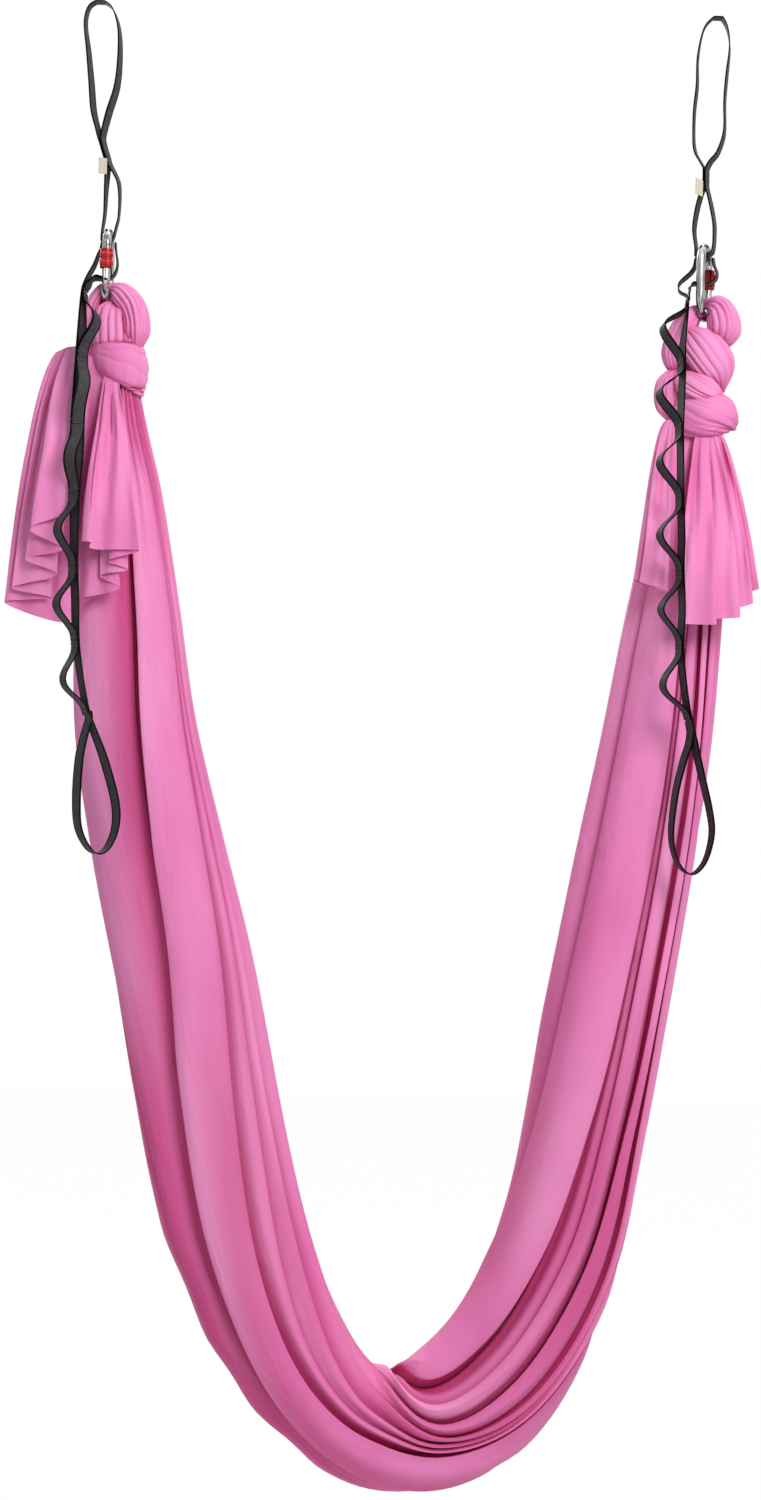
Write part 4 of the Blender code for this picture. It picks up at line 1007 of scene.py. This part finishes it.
# Routes are x from the strap's own hook, y, z and the turn of the webbing's width about Z, where 0 is
# edge-on to the viewer and 90 is flat to the viewer, all in millimetres and degrees. The bulges are how far
# each chain pocket stands off the load strand, from the top one down, and sewn is the side that they are on.
STRAPS = {
    "left": {
        "upper": [
            (10, 0, -334.0, 0), (10, 0, -328, 0), (10.5, 0, -320, 0), (13.5, 0, -296, 4),
            (14.5, 0, -262, 10), (15.6, 0, -238, 16), (16, 0, -226, 18), (13.2, 0, -216, 18),
            (10, 0, -206, 18), (6.8, 0, -196, 18), (4, 0, -188, 18), (1.2, 0, -178, 18), (-6, 0, -150, 20),
            (-10, 0, -111, 18), (-15, 0, -68, 14), (-20, 0, -30, 8), (-16, 0, -8, 3), (-6, 0, 0.9, 0),
            (-2, 0, 0.9, 0), (2, 0, 0.9, 0), (6, 0, 0.9, 0), (18, 0, -9, 3), (27, 0, -36, 8),
            (29, 0, -75, 14), (26, 0, -116, 18), (16, 0, -152, 20), (9.8, 0, -178, 18), (8.2, 0, -188, 18),
            (9.6, 0, -196, 18), (12.6, 0, -206, 18), (15.8, 0, -216, 18), (19.2, 0, -226, 18),
            (26, 0, -238, 16), (32, 0, -252, 10), (34, 0, -275, 4), (33, 0, -300, 0), (30, 0, -314, 0),
            (28.0, 0, -323, 0), (26.4, 0, -328.2, 0), (23.5, 0, -331.0, 0), (20, 0, -331.4, 0),
            (16, 0, -331.4, 0), (11.8, 0, -331.4, 0),
        ],
        "load": [
            (10, 0, -334.4, 0), (10, 0, -335.4, 0), (10, 0, -337, 0), (10, 0, -340, 0), (9, -0.5, -346, 0),
            (7, -2.5, -353, 2), (5, -6, -360, 4), (3, -10, -367.5, 4), (0, -15, -376, 4),
            (-3.5, -20.5, -385, 5), (-6.5, -25.5, -394, 6), (-8.4, -29.5, -402, 8),
            (-9, -31.6, -406.4, 10),
        ],
        "pocket": [
            (30, 0, -334.4, 0), (30, 0, -335.4, 0), (30, 0, -337, 0), (30, 0, -340, 0), (30.6, 0, -346, 0),
            (31.6, 1, -353, 0), (32.5, 2.5, -360, 0), (32.5, 4, -367, 0), (31, 5, -374, 0),
            (28, 5.5, -380, 0), (22.5, 5, -384.5, 0), (15, 3, -386.3, 0), (8, -1, -387, 0),
            (3.5, -7.5, -388.5, 2), (1, -14, -391.5, 4), (-1, -20, -395.8, 6), (-3.2, -25.5, -400, 8),
        ],
        "chain": [
            (-9, -32.3, -407.9, 10), (-9, -39, -422, 15), (-8, -50, -453, 27), (-7, -61, -494, 43),
            (-6, -76, -546, 65), (-6, -90, -595, 87), (-4, -106, -646, 110), (-4, -115, -697, 128),
            (-3, -120, -748, 138), (-2, -123, -796, 140), (1, -124, -843, 142), (3, -123, -894, 144),
            (9, -120, -940, 148), (18, -117, -987, 148), (24, -116, -1006, 145), (32, -114, -1026, 142),
            (45, -112, -1060, 138), (60, -110, -1112, 138), (62, -109, -1146, 142), (53, -108, -1174, 146),
            (39, -108, -1185, 148), (24, -108, -1177, 146), (11, -109, -1150, 142), (8, -110, -1110, 138),
            (10, -109.5, -1061, 138), (14, -109.5, -1036, 141), (18.5, -111, -1018, 143),
            (22.5, -113, -1002, 145), (22, -114.5, -992, 147),
        ],
        "bulges": [22, 16, 17, 25, 27, 24],
        "sewn": -1,
    },
    "right": {
        "upper": [
            (-21.4, 0, -334.0, 20), (-21.4, 0, -329, 20), (-21.8, 0, -320, 20), (-25, 0, -296, 22),
            (-22, 0, -270, 24), (-17, 0, -248, 24), (-13, 0, -236, 24), (-12, 0, -226, 24),
            (-12, 0, -218, 24), (-12.8, 0, -210, 24), (-19, 0, -200, 22), (-26.5, 0, -186, 20),
            (-29, 0, -166, 16), (-29, 0, -130, 16), (-26, 0, -94, 16), (-26, 0, -55, 12), (-19, 0, -16, 5),
            (-6, 0, 0.9, 0), (-2, 0, 0.9, 0), (2, 0, 0.9, 0), (6, 0, 0.9, 0), (14, 0, -14, 4),
            (18, 0, -40, 10), (15, 0, -80, 16), (13, 0, -115, 16), (14, 0, -150, 16), (12, 0, -168, 18),
            (5, 0, -188, 20), (-4, 0, -200, 22), (-9.0, 0, -210, 24), (-9.2, 0, -218, 24),
            (-9.2, 0, -226, 24), (-8.6, 0, -236, 24), (-5.5, 0, -248, 24), (-1, 0, -266, 24),
            (3, 0, -288, 22), (3.5, 0, -308, 20), (2.8, 0, -320, 20), (0.5, -1.3, -327.4, 20),
            (-4.1, -1.2, -330.8, 20), (-9, 0, -331.6, 20), (-12.8, 1.4, -331.6, 20),
            (-17, 1.9, -331.6, 20),
        ],
        "load": [
            (-21.4, 0, -334.4, 20), (-21.4, 0, -335.4, 20), (-21.4, 0, -337, 20), (-21.4, 0, -340, 20),
            (-22.5, -0.5, -346, 20), (-25.5, -1.5, -353, 18), (-31, -3.5, -360, 16), (-38, -6, -366.5, 14),
            (-44, -9, -373, 10), (-46.5, -11.5, -380, 8), (-44.5, -13, -386, 6), (-38.5, -14, -389.6, 5),
            (-34.6, -14.8, -392, 4), (-33.6, -16, -395.8, 3),
        ],
        "pocket": [
            (3, 0, -334.4, 20), (3, 0, -335.4, 20), (3, 0, -337, 20), (3, 0, -340, 20), (4.5, 0, -346, 20),
            (7.5, -0.3, -353, 20), (7.4, -2.2, -360.4, 18), (3.4, -5.2, -367.8, 14),
            (-4.4, -7.2, -372.2, 8), (-10.9, -6.6, -373.2, 5), (-17.8, -5.7, -373.5, 4),
            (-25.5, -7.5, -374, 4), (-29, -10.8, -377.6, 4), (-30.3, -13, -383.8, 4),
            (-30.8, -14.5, -388.6, 4),
        ],
        "chain": [
            (-33.4, -16.6, -397.2, 3), (-34, -21.2, -411, 0), (-38, -31, -436, -9), (-42, -43, -467, -19),
            (-43, -57, -509, -20), (-45, -71, -552, -20), (-47, -85, -590, -20), (-47, -99, -638, -21),
            (-47, -109, -685, -21), (-45, -116, -734, -21), (-45, -118, -782, -21), (-42, -118, -835, -21),
            (-43, -117, -880, -21), (-39, -116, -923, -21), (-32, -114, -966, -20),
            (-23, -112, -1004, -24), (-11, -110, -1051, -22), (3, -108, -1105, -20), (7, -108, -1139, -16),
            (-2, -108, -1176, -12), (-20, -108, -1193, -10), (-39, -108, -1177, -12),
            (-48, -108, -1141, -16), (-44, -109, -1086, -20), (-34, -107.5, -1040, -23),
            (-27.5, -108, -1018, -24), (-25.5, -109.5, -1000, -24), (-28.5, -110.5, -986, -25),
        ],
        "bulges": [30, 32, 30, 31, 30, 29],
        "sewn": 1,
    },
}


def frames(points):
    """Adds the face direction to (middle, wanted width direction) pairs along a strip of webbing."""
    middles = [middle for middle, _ in points]
    out = []
    for i, (middle, wanted) in enumerate(points):
        ahead = ahead_at(middles, i)
        across = (wanted - ahead * wanted.dot(ahead)).normalized()
        out.append((middle, across, across.cross(ahead).normalized()))
    return out


def strip(side, route, steps):
    """The middle, width direction and face direction along a route."""
    points = []
    for x, y, z, turn in spline(route, steps):
        turn = math.radians(turn)
        middle = Vector((HOOKS[side] + x * MM, y * MM, min(z * MM, LOOP_CREST)))
        points.append((middle, Vector((math.sin(turn), math.cos(turn), 0))))
    return frames(points)


def lengths(rows):
    run = [0.0]
    for a, b in zip(rows, rows[1:]):
        run.append(run[-1] + (b[0] - a[0]).length)
    return run


def strip_at(rows, run, marks=None):
    """The middle, width and face directions at a length along a strip."""
    marks = marks or lengths(rows)
    run = max(0.0, min(marks[-1], run))
    k = max(i for i, m in enumerate(marks[:-1]) if m <= run)
    t = (run - marks[k]) / (marks[k + 1] - marks[k])
    middle, across, face = (rows[k][n].lerp(rows[k + 1][n], t) for n in range(3))
    return middle, across.normalized(), face.normalized()


def strap_piece(name, rows, node, body, half_widths=None):
    """A strip of webbing for its CAD node, with rounded selvedges and a faint dish between them."""
    thick = sizes().webbing_thickness / 2
    skin = []
    for (middle, across, face), half in zip(rows, half_widths or [WEBBING_WIDTH / 2] * len(rows)):
        skin.append([
            middle + across * (half * u * sign) + face * (thick * v * sign)
            for sign in (1, -1) for u, v in WEBBING_RING
        ])
    obj = join_skins(name, [(skin, True, True)], woven_nylon())
    stand_in(obj, "webbing", body, node)


def round_topped(rows):
    """Half-widths that round a strip's top end about the swing line, as its fold does."""
    reach = WEBBING_WIDTH / 2 + 0.0007
    ups = (max(middle.z + SWING_DROP, 0.0) for middle, _, _ in rows)
    return [min(WEBBING_WIDTH / 2, math.sqrt(max(reach ** 2 - up ** 2, 0.0015 ** 2))) for up in ups]


def chain(side):
    """The load strand of a chain tail and the pockets sewn to it."""
    strap = STRAPS[side]
    drawn = strip(side, strap["chain"], 8)
    drawn_marks = lengths(drawn)
    steps = 36
    count = len(strap["bulges"]) * steps
    stations = [FIRST_POCKET_DROP + POCKET_PITCH * k / steps for k in range(count + 1)]
    points = [strip_at(drawn, run, drawn_marks)[:2] for run in (0.0, *stations)]
    points += [row[:2] for row, run in zip(drawn, drawn_marks) if run > stations[-1] + 0.004]
    load = frames(points)
    marks = lengths(load)
    pockets = []
    for n, bulge in enumerate(strap["bulges"]):
        pocket = []
        for k in range(steps + 1):
            run = marks[1 + n * steps + k] + {0: POCKET_INSET, steps: -POCKET_INSET}.get(k, 0.0)
            inside = (POCKET_PITCH * k / steps - TACK_LENGTH / 2) / (POCKET_PITCH - TACK_LENGTH)
            swell = math.sin(math.pi * max(0.0, min(1.0, inside))) ** 2
            middle, across, face = strip_at(load, run, marks)
            pocket.append((middle + face * (strap["sewn"] * (STAND_OFF + bulge * MM * swell)), across))
        pockets.append(frames(pocket))
    return load, pockets


def bar_tack(rows, run, side):
    """The line of one bar tack across a strip, on one of its faces."""
    middle, across, face = strip_at(rows, run)
    along = face.cross(across).normalized()
    out = face * side
    lift = out * (sizes().webbing_thickness * 0.47)
    half = WEBBING_WIDTH / 2 - BAR_INSET
    return [(middle + across * (half * k / 4) + lift, out, along) for k in range(-4, 5)]


def chain_tacks(load, pockets, sewn_side):
    """Three bars at each sewn place, on the outer faces of the pockets and of the load strand, and two at
    the end loop."""
    lines = []
    for rows in pockets:
        bars = (*POCKET_BARS, lengths(rows)[-1] - POCKET_BARS[1])
        lines += [bar_tack(rows, run, sewn_side) for run in bars]
    for n in range(len(pockets) + 1):
        place = FIRST_POCKET_DROP + POCKET_PITCH * n
        # Above its first tack the chain swings against the strand round the carabiner, so no bar lies there.
        shifts = (-LOAD_BAR, 0.0, LOAD_BAR) if n else (0.0, LOAD_BAR)
        lines += [bar_tack(load, place + shift, -sewn_side) for shift in shifts]
    end = lengths(load)[-1]
    return lines + [bar_tack(load, end - shift, side) for shift in END_BARS for side in (-1, 1)]


def loop_tacks(rows):
    """Bars over the sewn neck of a top loop, on the outer face of each of its two strands."""
    lines = []
    marks = lengths(rows)
    for height in NECK_TACKS:
        places = []
        for (a, *_), (b, *_), run in zip(rows, rows[1:], marks):
            step = (b - a).length
            if (a.z - height) * (b.z - height) <= 0 and step > 0:
                places.append(run + step * abs(a.z - height) / max(abs(a.z - b.z), 1e-6))
        for place, other in ((places[0], places[1]), (places[1], places[0])):
            middle, _, face = strip_at(rows, place)
            side = 1 if (middle - strip_at(rows, other)[0]).dot(face) > 0 else -1
            lines.append(bar_tack(rows, place, side))
    return lines


def sew(name, lines, body):
    """Bar tacks along lines of a strap that rides on the body."""
    obj = stitches(name, lines, bonded_thread(), sizes().stitch_pitch, *BAR_THREAD)
    stand_in(obj, "webbing", body)


class HAMMOCK_OT_straps(bpy.types.Operator):
    """Builds the webbing: top loops, the strands round the carabiners, and the chain tails"""
    bl_idname = "hammock.straps"
    bl_label = "Straps"

    def execute(self, context):
        for side, strap in STRAPS.items():
            loop = strip(side, strap["upper"], 8)
            strap_piece(f"{side}_top_loop", loop, f"{side}_upper_strap", "upper_straps")
            sew(f"{side}_loop_tacks", loop_tacks(loop), "upper_straps")
            strands = {key: strip(side, strap[key], 1) for key in ("load", "pocket")}
            # The pocket strand ends on the load strand, where the two are sewn.
            load_end = lengths(strands["load"])[-1]
            for back, lift in ((0.0035, 0.0010), (0.0, 0.0005)):
                middle, across, face = strip_at(strands["load"], load_end - back)
                strands["pocket"].append((middle - face * (lift + STAND_OFF), across))
            for key, rows in strands.items():
                fine = spline([(*row[0], *row[1]) for row in rows], 4)
                fine = frames([(Vector(p[:3]), Vector(p[3:])) for p in fine])
                name, node = f"{side}_clip_{key}_webbing", f"{side}_clip_{key}_strand"
                strap_piece(name, fine, node, "hammock", round_topped(fine))
            load, pockets = chain(side)
            strap_piece(f"{side}_chain_webbing", load, f"{side}_chain_strap", f"{side}_tail")
            for n, rows in enumerate(pockets, 3):
                strap_piece(f"{side}_pocket_{n}", rows, f"{side}_chain_pocket_{n}", f"{side}_tail")
            sew(f"{side}_chain_tacks", chain_tacks(load, pockets, strap["sewn"]), f"{side}_tail")
        return {"FINISHED"}


# Tags and carabiners

# Carabiner space: X from spine to gate, Y along the hinge pin, Z up, origin on the swing line. Each
# carabiner stands at an x and is turned about Z.
CLIP_PLACES = {"left": (-0.412, -90.0), "right": (0.423, 70.0)}
BOW_RADIUS, LEG_LENGTH, BAR_RADIUS = 0.024, 0.050, 0.006
NOSE_HEIGHT, NOSE_GAP = 0.0026, 0.0006
GATE_RADIUS, PIVOT_RADIUS, SPRING_BORE_RADIUS, TONGUE_THICKNESS = 0.0056, 0.0018, 0.0032, 0.0044
SLEEVE_RADIUS, SLEEVE_LENGTH, SLEEVE_WALL, SLEEVE_DROP = 0.0095, 0.027, 0.00195, 0.0035
RIB_WIDTH = 0.0008
FIT_GAP = 0.00035
# The nose's key: half its width, half its thickness and how far it reaches down. The gate's slot for it: half
# its thickness and its depth.
KEY_REACH, KEY_HALF, KEY_DROP = 0.0035, 0.0016, 0.0024
SLOT_HALF, SLOT_DEPTH = 0.0021, 0.0056
TONGUE_RADIUS, FORK_HEIGHT, SPRING_BORE_LENGTH = 0.0048, 0.0055, 0.030
# Edges of the metal pieces past this angle, in degrees, stay sharp.
SHARP_ANGLE = 32
# Past every face of the piece that a cut goes through.
CUT_REACH = 0.02


def circle(centre, radius, sides, one=Vector((1, 0, 0)), other=Vector((0, 1, 0))):
    """A ring of points round centre in the plane of two unit directions."""
    turns = (TAU * k / sides for k in range(sides))
    return [centre + one * (radius * math.cos(a)) + other * (radius * math.sin(a)) for a in turns]


def box(low, high):
    """A cuboid between two corners."""
    low, high = Vector(low), Vector(high)
    size = high - low
    corners = ((0, 0), (size.x, 0), (size.x, size.y), (0, size.y))
    plan = [low + Vector((x, y, 0)) for x, y in corners]
    return loft([plan, [p + Vector((0, 0, size.z)) for p in plan]])


def pin(x, z, half, radius, sides=48):
    """A cylinder along Y round a place in the X-Z plane."""
    across = (Vector((1, 0, 0)), Vector((0, 0, 1)))
    return loft([circle(Vector((x, y, z)), radius, sides, *across) for y in (-half, half)])


def reshape(obj, bm, operation="DIFFERENCE"):
    """Cuts a solid with another or fuses the two, and keeps the result as a plain mesh."""
    other = solid("cutter", bm, polished_steel_finish())
    change = obj.modifiers.new("shape", "BOOLEAN")
    change.operation = operation
    change.solver = "EXACT"
    change.object = other
    settle(obj)
    bpy.data.objects.remove(other, do_unlink=True)


def into_place(obj, side):
    """Moves a carabiner piece's mesh from carabiner space to its place."""
    x, turn = CLIP_PLACES[side]
    place = Matrix.Translation((x, 0, -SWING_DROP)) @ Matrix.Rotation(math.radians(turn), 4, "Z")
    obj.data.transform(place)
    obj.data.shade_smooth()
    obj.data.set_sharp_from_angle(angle=math.radians(SHARP_ANGLE))


def clip_bar(side):
    """The bent round bar, with the nose's key at one end and the hinge tongue at the other."""
    path = [Vector((BOW_RADIUS, 0, NOSE_HEIGHT)), Vector((BOW_RADIUS, 0, NOSE_HEIGHT + 0.002))]
    for low, high, drop in ((16, 180, 0.0), (180, 344, LEG_LENGTH)):
        turns = [math.radians(low + (high - low) * k / 30) for k in range(31)]
        path += [Vector((BOW_RADIUS * math.cos(a), 0, BOW_RADIUS * math.sin(a) - drop)) for a in turns]
    rings = []
    for i, point in enumerate(path):
        ahead = ahead_at(path, i) if i > 1 else Vector((0, 0, 1))
        across = Vector((0, 1, 0))
        rings.append(circle(point, BAR_RADIUS, 32, across, across.cross(ahead)))
    obj = solid(f"{side}_clip_body", loft(rings), polished_steel_finish())
    half = TONGUE_THICKNESS / 2
    x, foot = BOW_RADIUS, -LEG_LENGTH
    key_low = (x - KEY_REACH, -KEY_HALF, -KEY_DROP)
    reshape(obj, box(key_low, (x + KEY_REACH, KEY_HALF, NOSE_HEIGHT + 0.002)), "UNION")
    reshape(obj, pin(x, foot, half, TONGUE_RADIUS), "UNION")
    reshape(obj, box((x - 0.0046, -half, foot - 0.0085), (x + 0.0040, half, foot - 0.001)), "UNION")
    reshape(obj, pin(x, foot, CUT_REACH, PIVOT_RADIUS + FIT_GAP, 24))
    return obj


def clip_gate(side):
    """The gate: a round bar with a slot for the nose's key, a bore for the spring and a forked foot."""
    x, r, far = BOW_RADIUS, GATE_RADIUS, CUT_REACH
    top, foot = NOSE_HEIGHT - NOSE_GAP, -LEG_LENGTH
    outline = [
        (0.45 * r, foot - 0.88 * r), (0.64 * r, foot - 0.76 * r), (0.8 * r, foot - 0.58 * r),
        (0.93 * r, foot - 0.32 * r), (r, foot), (r, top - 0.0006), (r - 0.0002, top - 0.0002),
        (r - 0.0006, top),
    ]
    rings = [circle(Vector((x, 0, z)), radius, 40) for radius, z in outline]
    obj = solid(f"{side}_clip_gate", loft(rings), polished_steel_finish())
    reshape(obj, box((x - far, -SLOT_HALF, top - SLOT_DEPTH), (x + far, SLOT_HALF, top + far)))
    half_slot = TONGUE_THICKNESS / 2 + FIT_GAP
    reshape(obj, box((x - far, -half_slot, foot - far), (x + far, half_slot, foot + FORK_HEIGHT)))
    bore = [circle(Vector((x, 0, z)), SPRING_BORE_RADIUS, 24) for z in (foot, foot + SPRING_BORE_LENGTH)]
    reshape(obj, loft(bore))
    reshape(obj, pin(x, foot, far, PIVOT_RADIUS + FIT_GAP, 24))
    return obj


def grip_sleeve(side):
    """The grip sleeve: a turned ring with a groove at its middle and a band of ribs above and below it."""
    x, r, bore = BOW_RADIUS, SLEEVE_RADIUS, SLEEVE_RADIUS - SLEEVE_WALL
    high, low = -SLEEVE_DROP, -SLEEVE_DROP - SLEEVE_LENGTH
    middle = (high + low) / 2
    land, band = r - 0.0005, r - 0.00045
    band_top, band_foot = high - 0.0040, middle + 0.0019
    upper = [
        (bore + 0.0003, high), (r - 0.0014, high), (r - 0.0008, high - 0.0003), (land, high - 0.0009),
        (land, high - 0.0030), (r - 0.0010, high - 0.0032), (r - 0.0010, high - 0.0037), (band, band_top),
        (band, band_foot), (r - 0.0011, middle + 0.0013),
    ]
    lower = [(radius, high + low - z) for radius, z in reversed(upper)]
    profile = [(bore, high - 0.0003), *upper, *lower, (bore, low + 0.0003)]
    rings = []
    for out in circle(Vector(), 1.0, 64):
        rings.append([Vector((x, 0, z)) + out * radius for radius, z in profile])
    obj = solid(f"{side}_grip_sleeve", loft(rings, closed=True), red_anodised_finish())
    length = band_top - band_foot
    offset = length / 2 + 0.0019
    mesh = bpy.data.meshes.new(f"{side}_sleeve_ribs")
    mesh.from_pydata([(x, 0, middle + offset), (x, 0, middle - offset)], [], [])
    ribs = grow(show(f"{side}_sleeve_ribs", mesh), knurl_rings(), {
        "Count": sizes().knurl_count, "Ring radius": band, "Rib length": length * 0.98,
        "Rib width": RIB_WIDTH, "Finish": red_anodised_finish(),
    })
    return obj, ribs


class HAMMOCK_OT_tags(bpy.types.Operator):
    """Gives the bare sewn-in tags their satin"""
    bl_idname = "hammock.tags"
    bl_label = "Tags"

    def execute(self, context):
        for side in SIDES:
            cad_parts[f"{side}_tag"].material_slots[0].material = tag_satin()
        return {"FINISHED"}


class HAMMOCK_OT_carabiners(bpy.types.Operator):
    """Gives the carabiners their steel and the sleeves their red anodising"""
    bl_idname = "hammock.carabiners"
    bl_label = "Carabiners"

    def execute(self, context):
        for side in SIDES:
            for node in ("gate_pin", "gate_plunger", "gate_spring", "sleeve_bush"):
                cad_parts[f"{side}_{node}"].material_slots[0].material = polished_steel_finish()
            grip, ribs = grip_sleeve(side)
            for obj, slot, body, *nodes in (
                (clip_bar(side), "steel", "hammock", f"{side}_carabiner_body"),
                (clip_gate(side), "steel", f"{side}_gate", f"{side}_gate"),
                (grip, "red_sleeve", f"{side}_sleeve", f"{side}_screw_sleeve"),
                (ribs, "red_sleeve", f"{side}_sleeve"),
            ):
                into_place(obj, side)
                stand_in(obj, slot, body, *nodes)
        return {"FINISHED"}


class HAMMOCK_OT_sheet(bpy.types.Operator):
    bl_idname = "hammock.sheet"
    bl_label = "Sheet"

    def execute(self, context):
        return {"FINISHED"}


# Stage

WHITE = (1, 1, 1, 1)
# The camera as matched to the photo: its place, the tilt of its picture, its lens and its film's height.
CAMERA_PLACE = (-0.0133, -3.55, -1.0353)
CAMERA_TILT = -1.486
CAMERA_LENS, FILM_HEIGHT = 40.57, 24
# Each soft light: its place, the point it aims at, its side and its power.
LIGHTS = {
    "key_light": ((1.6, -2.7, 1.2), (0.0, 0.0, -0.6), 1.8, 106),
    "fill_light": ((-2.4, -2.6, -0.6), (0.0, 0.0, -1.2), 2.2, 10),
    "top_light": ((0.2, 0.6, 1.9), (0.0, 0.0, -1.0), 1.8, 30),
    "back_light": ((-1.4, 2.9, 0.6), (0.0, 0.0, -1.0), 2.2, 45),
}
FLOOR_HALF, FLOOR_DROP = 6, 0.25
# How much of the floor is shown white, and how strongly the air lights the pieces.
PAPER_WHITE, AIR_LIGHT = 0.985, 0.26


def seen_rays(tree):
    """1 for rays of the camera, reflections and clear pieces, and 0 for rays that light the pieces."""
    path = add(tree, "LightPath")
    rays = {0: (path, "Is Camera Ray"), 1: (path, "Is Glossy Ray")}
    seen = add(tree, "Math", {"operation": "MAXIMUM", **rays})
    return add(tree, "Math", {"operation": "MAXIMUM", 0: seen, 1: (path, "Is Transmission Ray")})


@look
def studio_paper(tree, shader):
    """Matt studio paper. The camera and reflections see it near white, and it keeps soft shadows."""
    wire(tree, shader, {"Base Color": linear("#EDEDED"), "Roughness": 0.9})
    share = add(tree, "Math", {"operation": "MULTIPLY", 0: seen_rays(tree), 1: PAPER_WHITE})
    glow = add(tree, "Emission", {"Color": WHITE, "Strength": 1.0})
    mix = add(tree, "MixShader", {0: share, 1: shader, 2: glow})
    wire(tree, tree.nodes["Material Output"], {"Surface": mix})


class HAMMOCK_OT_stage(bpy.types.Operator):
    """Builds the camera, the soft lights, the pale floor and the white air round it"""
    bl_idname = "hammock.stage"
    bl_label = "Stage"

    def execute(self, context):
        scene = context.scene
        data = bpy.data.cameras.new("camera")
        camera = bpy.data.objects.new("camera", data)
        scene.collection.objects.link(camera)
        camera.location = CAMERA_PLACE
        camera.rotation_euler = (math.radians(90), math.radians(CAMERA_TILT), 0)
        data.sensor_fit = "VERTICAL"
        data.sensor_height = FILM_HEIGHT
        data.lens = CAMERA_LENS
        scene.camera = camera
        scene.view_settings.view_transform = "Standard"
        low, far = CAD_BOX[0][2] - FLOOR_DROP, FLOOR_HALF
        corners = [(-far, -far, low), (far, -far, low), (far, far, low), (-far, far, low)]
        piece("floor", corners, [(0, 1, 2, 3)], studio_paper())
        for name, (place, aim, size, power) in LIGHTS.items():
            lamp = bpy.data.lights.new(name, "AREA")
            lamp.size = size
            lamp.energy = power
            obj = bpy.data.objects.new(name, lamp)
            obj.location = place
            obj.rotation_euler = (Vector(aim) - Vector(place)).to_track_quat("-Z", "Y").to_euler()
            scene.collection.objects.link(obj)
        scene.world = bpy.data.worlds.new("studio_air")
        scene.world.use_nodes = True
        tree = scene.world.node_tree
        dim = wire(tree, tree.nodes["Background"], {"Color": WHITE, "Strength": AIR_LIGHT})
        bright = add(tree, "Background", {"Color": WHITE, "Strength": 1.0})
        mix = add(tree, "MixShader", {0: seen_rays(tree), 1: dim, 2: bright})
        wire(tree, tree.nodes["World Output"], {"Surface": mix})
        return {"FINISHED"}


class HAMMOCK_PT_panel(bpy.types.Panel):
    """Lists the pieces and their settings"""
    bl_idname = "HAMMOCK_PT_panel"
    bl_label = "Aerial yoga hammock"
    bl_space_type = "VIEW_3D"
    bl_region_type = "UI"
    bl_category = "Hammock"

    def draw(self, context):
        for group in (context.scene.hammock_sizes, context.scene.hammock_colours):
            for key in group.__annotations__:
                self.layout.prop(group, key)
        for operator in OPERATORS:
            self.layout.operator(operator.bl_idname)


OPERATORS = (
    HAMMOCK_OT_stage, HAMMOCK_OT_sling, HAMMOCK_OT_knots, HAMMOCK_OT_loose_ends, HAMMOCK_OT_straps,
    HAMMOCK_OT_tags, HAMMOCK_OT_carabiners, HAMMOCK_OT_sheet,
)
CLASSES = (HammockSizes, HammockColours, *OPERATORS, HAMMOCK_PT_panel)


def register():
    for item in CLASSES:
        bpy.utils.register_class(item)
    bpy.types.Scene.hammock_sizes = PointerProperty(type=HammockSizes)
    bpy.types.Scene.hammock_colours = PointerProperty(type=HammockColours)


def unregister():
    del bpy.types.Scene.hammock_colours
    del bpy.types.Scene.hammock_sizes
    for item in reversed(CLASSES):
        bpy.utils.unregister_class(item)


def main():
    register()
    for operator in OPERATORS:
        group, name = operator.bl_idname.split(".")
        getattr(getattr(bpy.ops, group), name)()


if __name__ == "__main__":
    main()
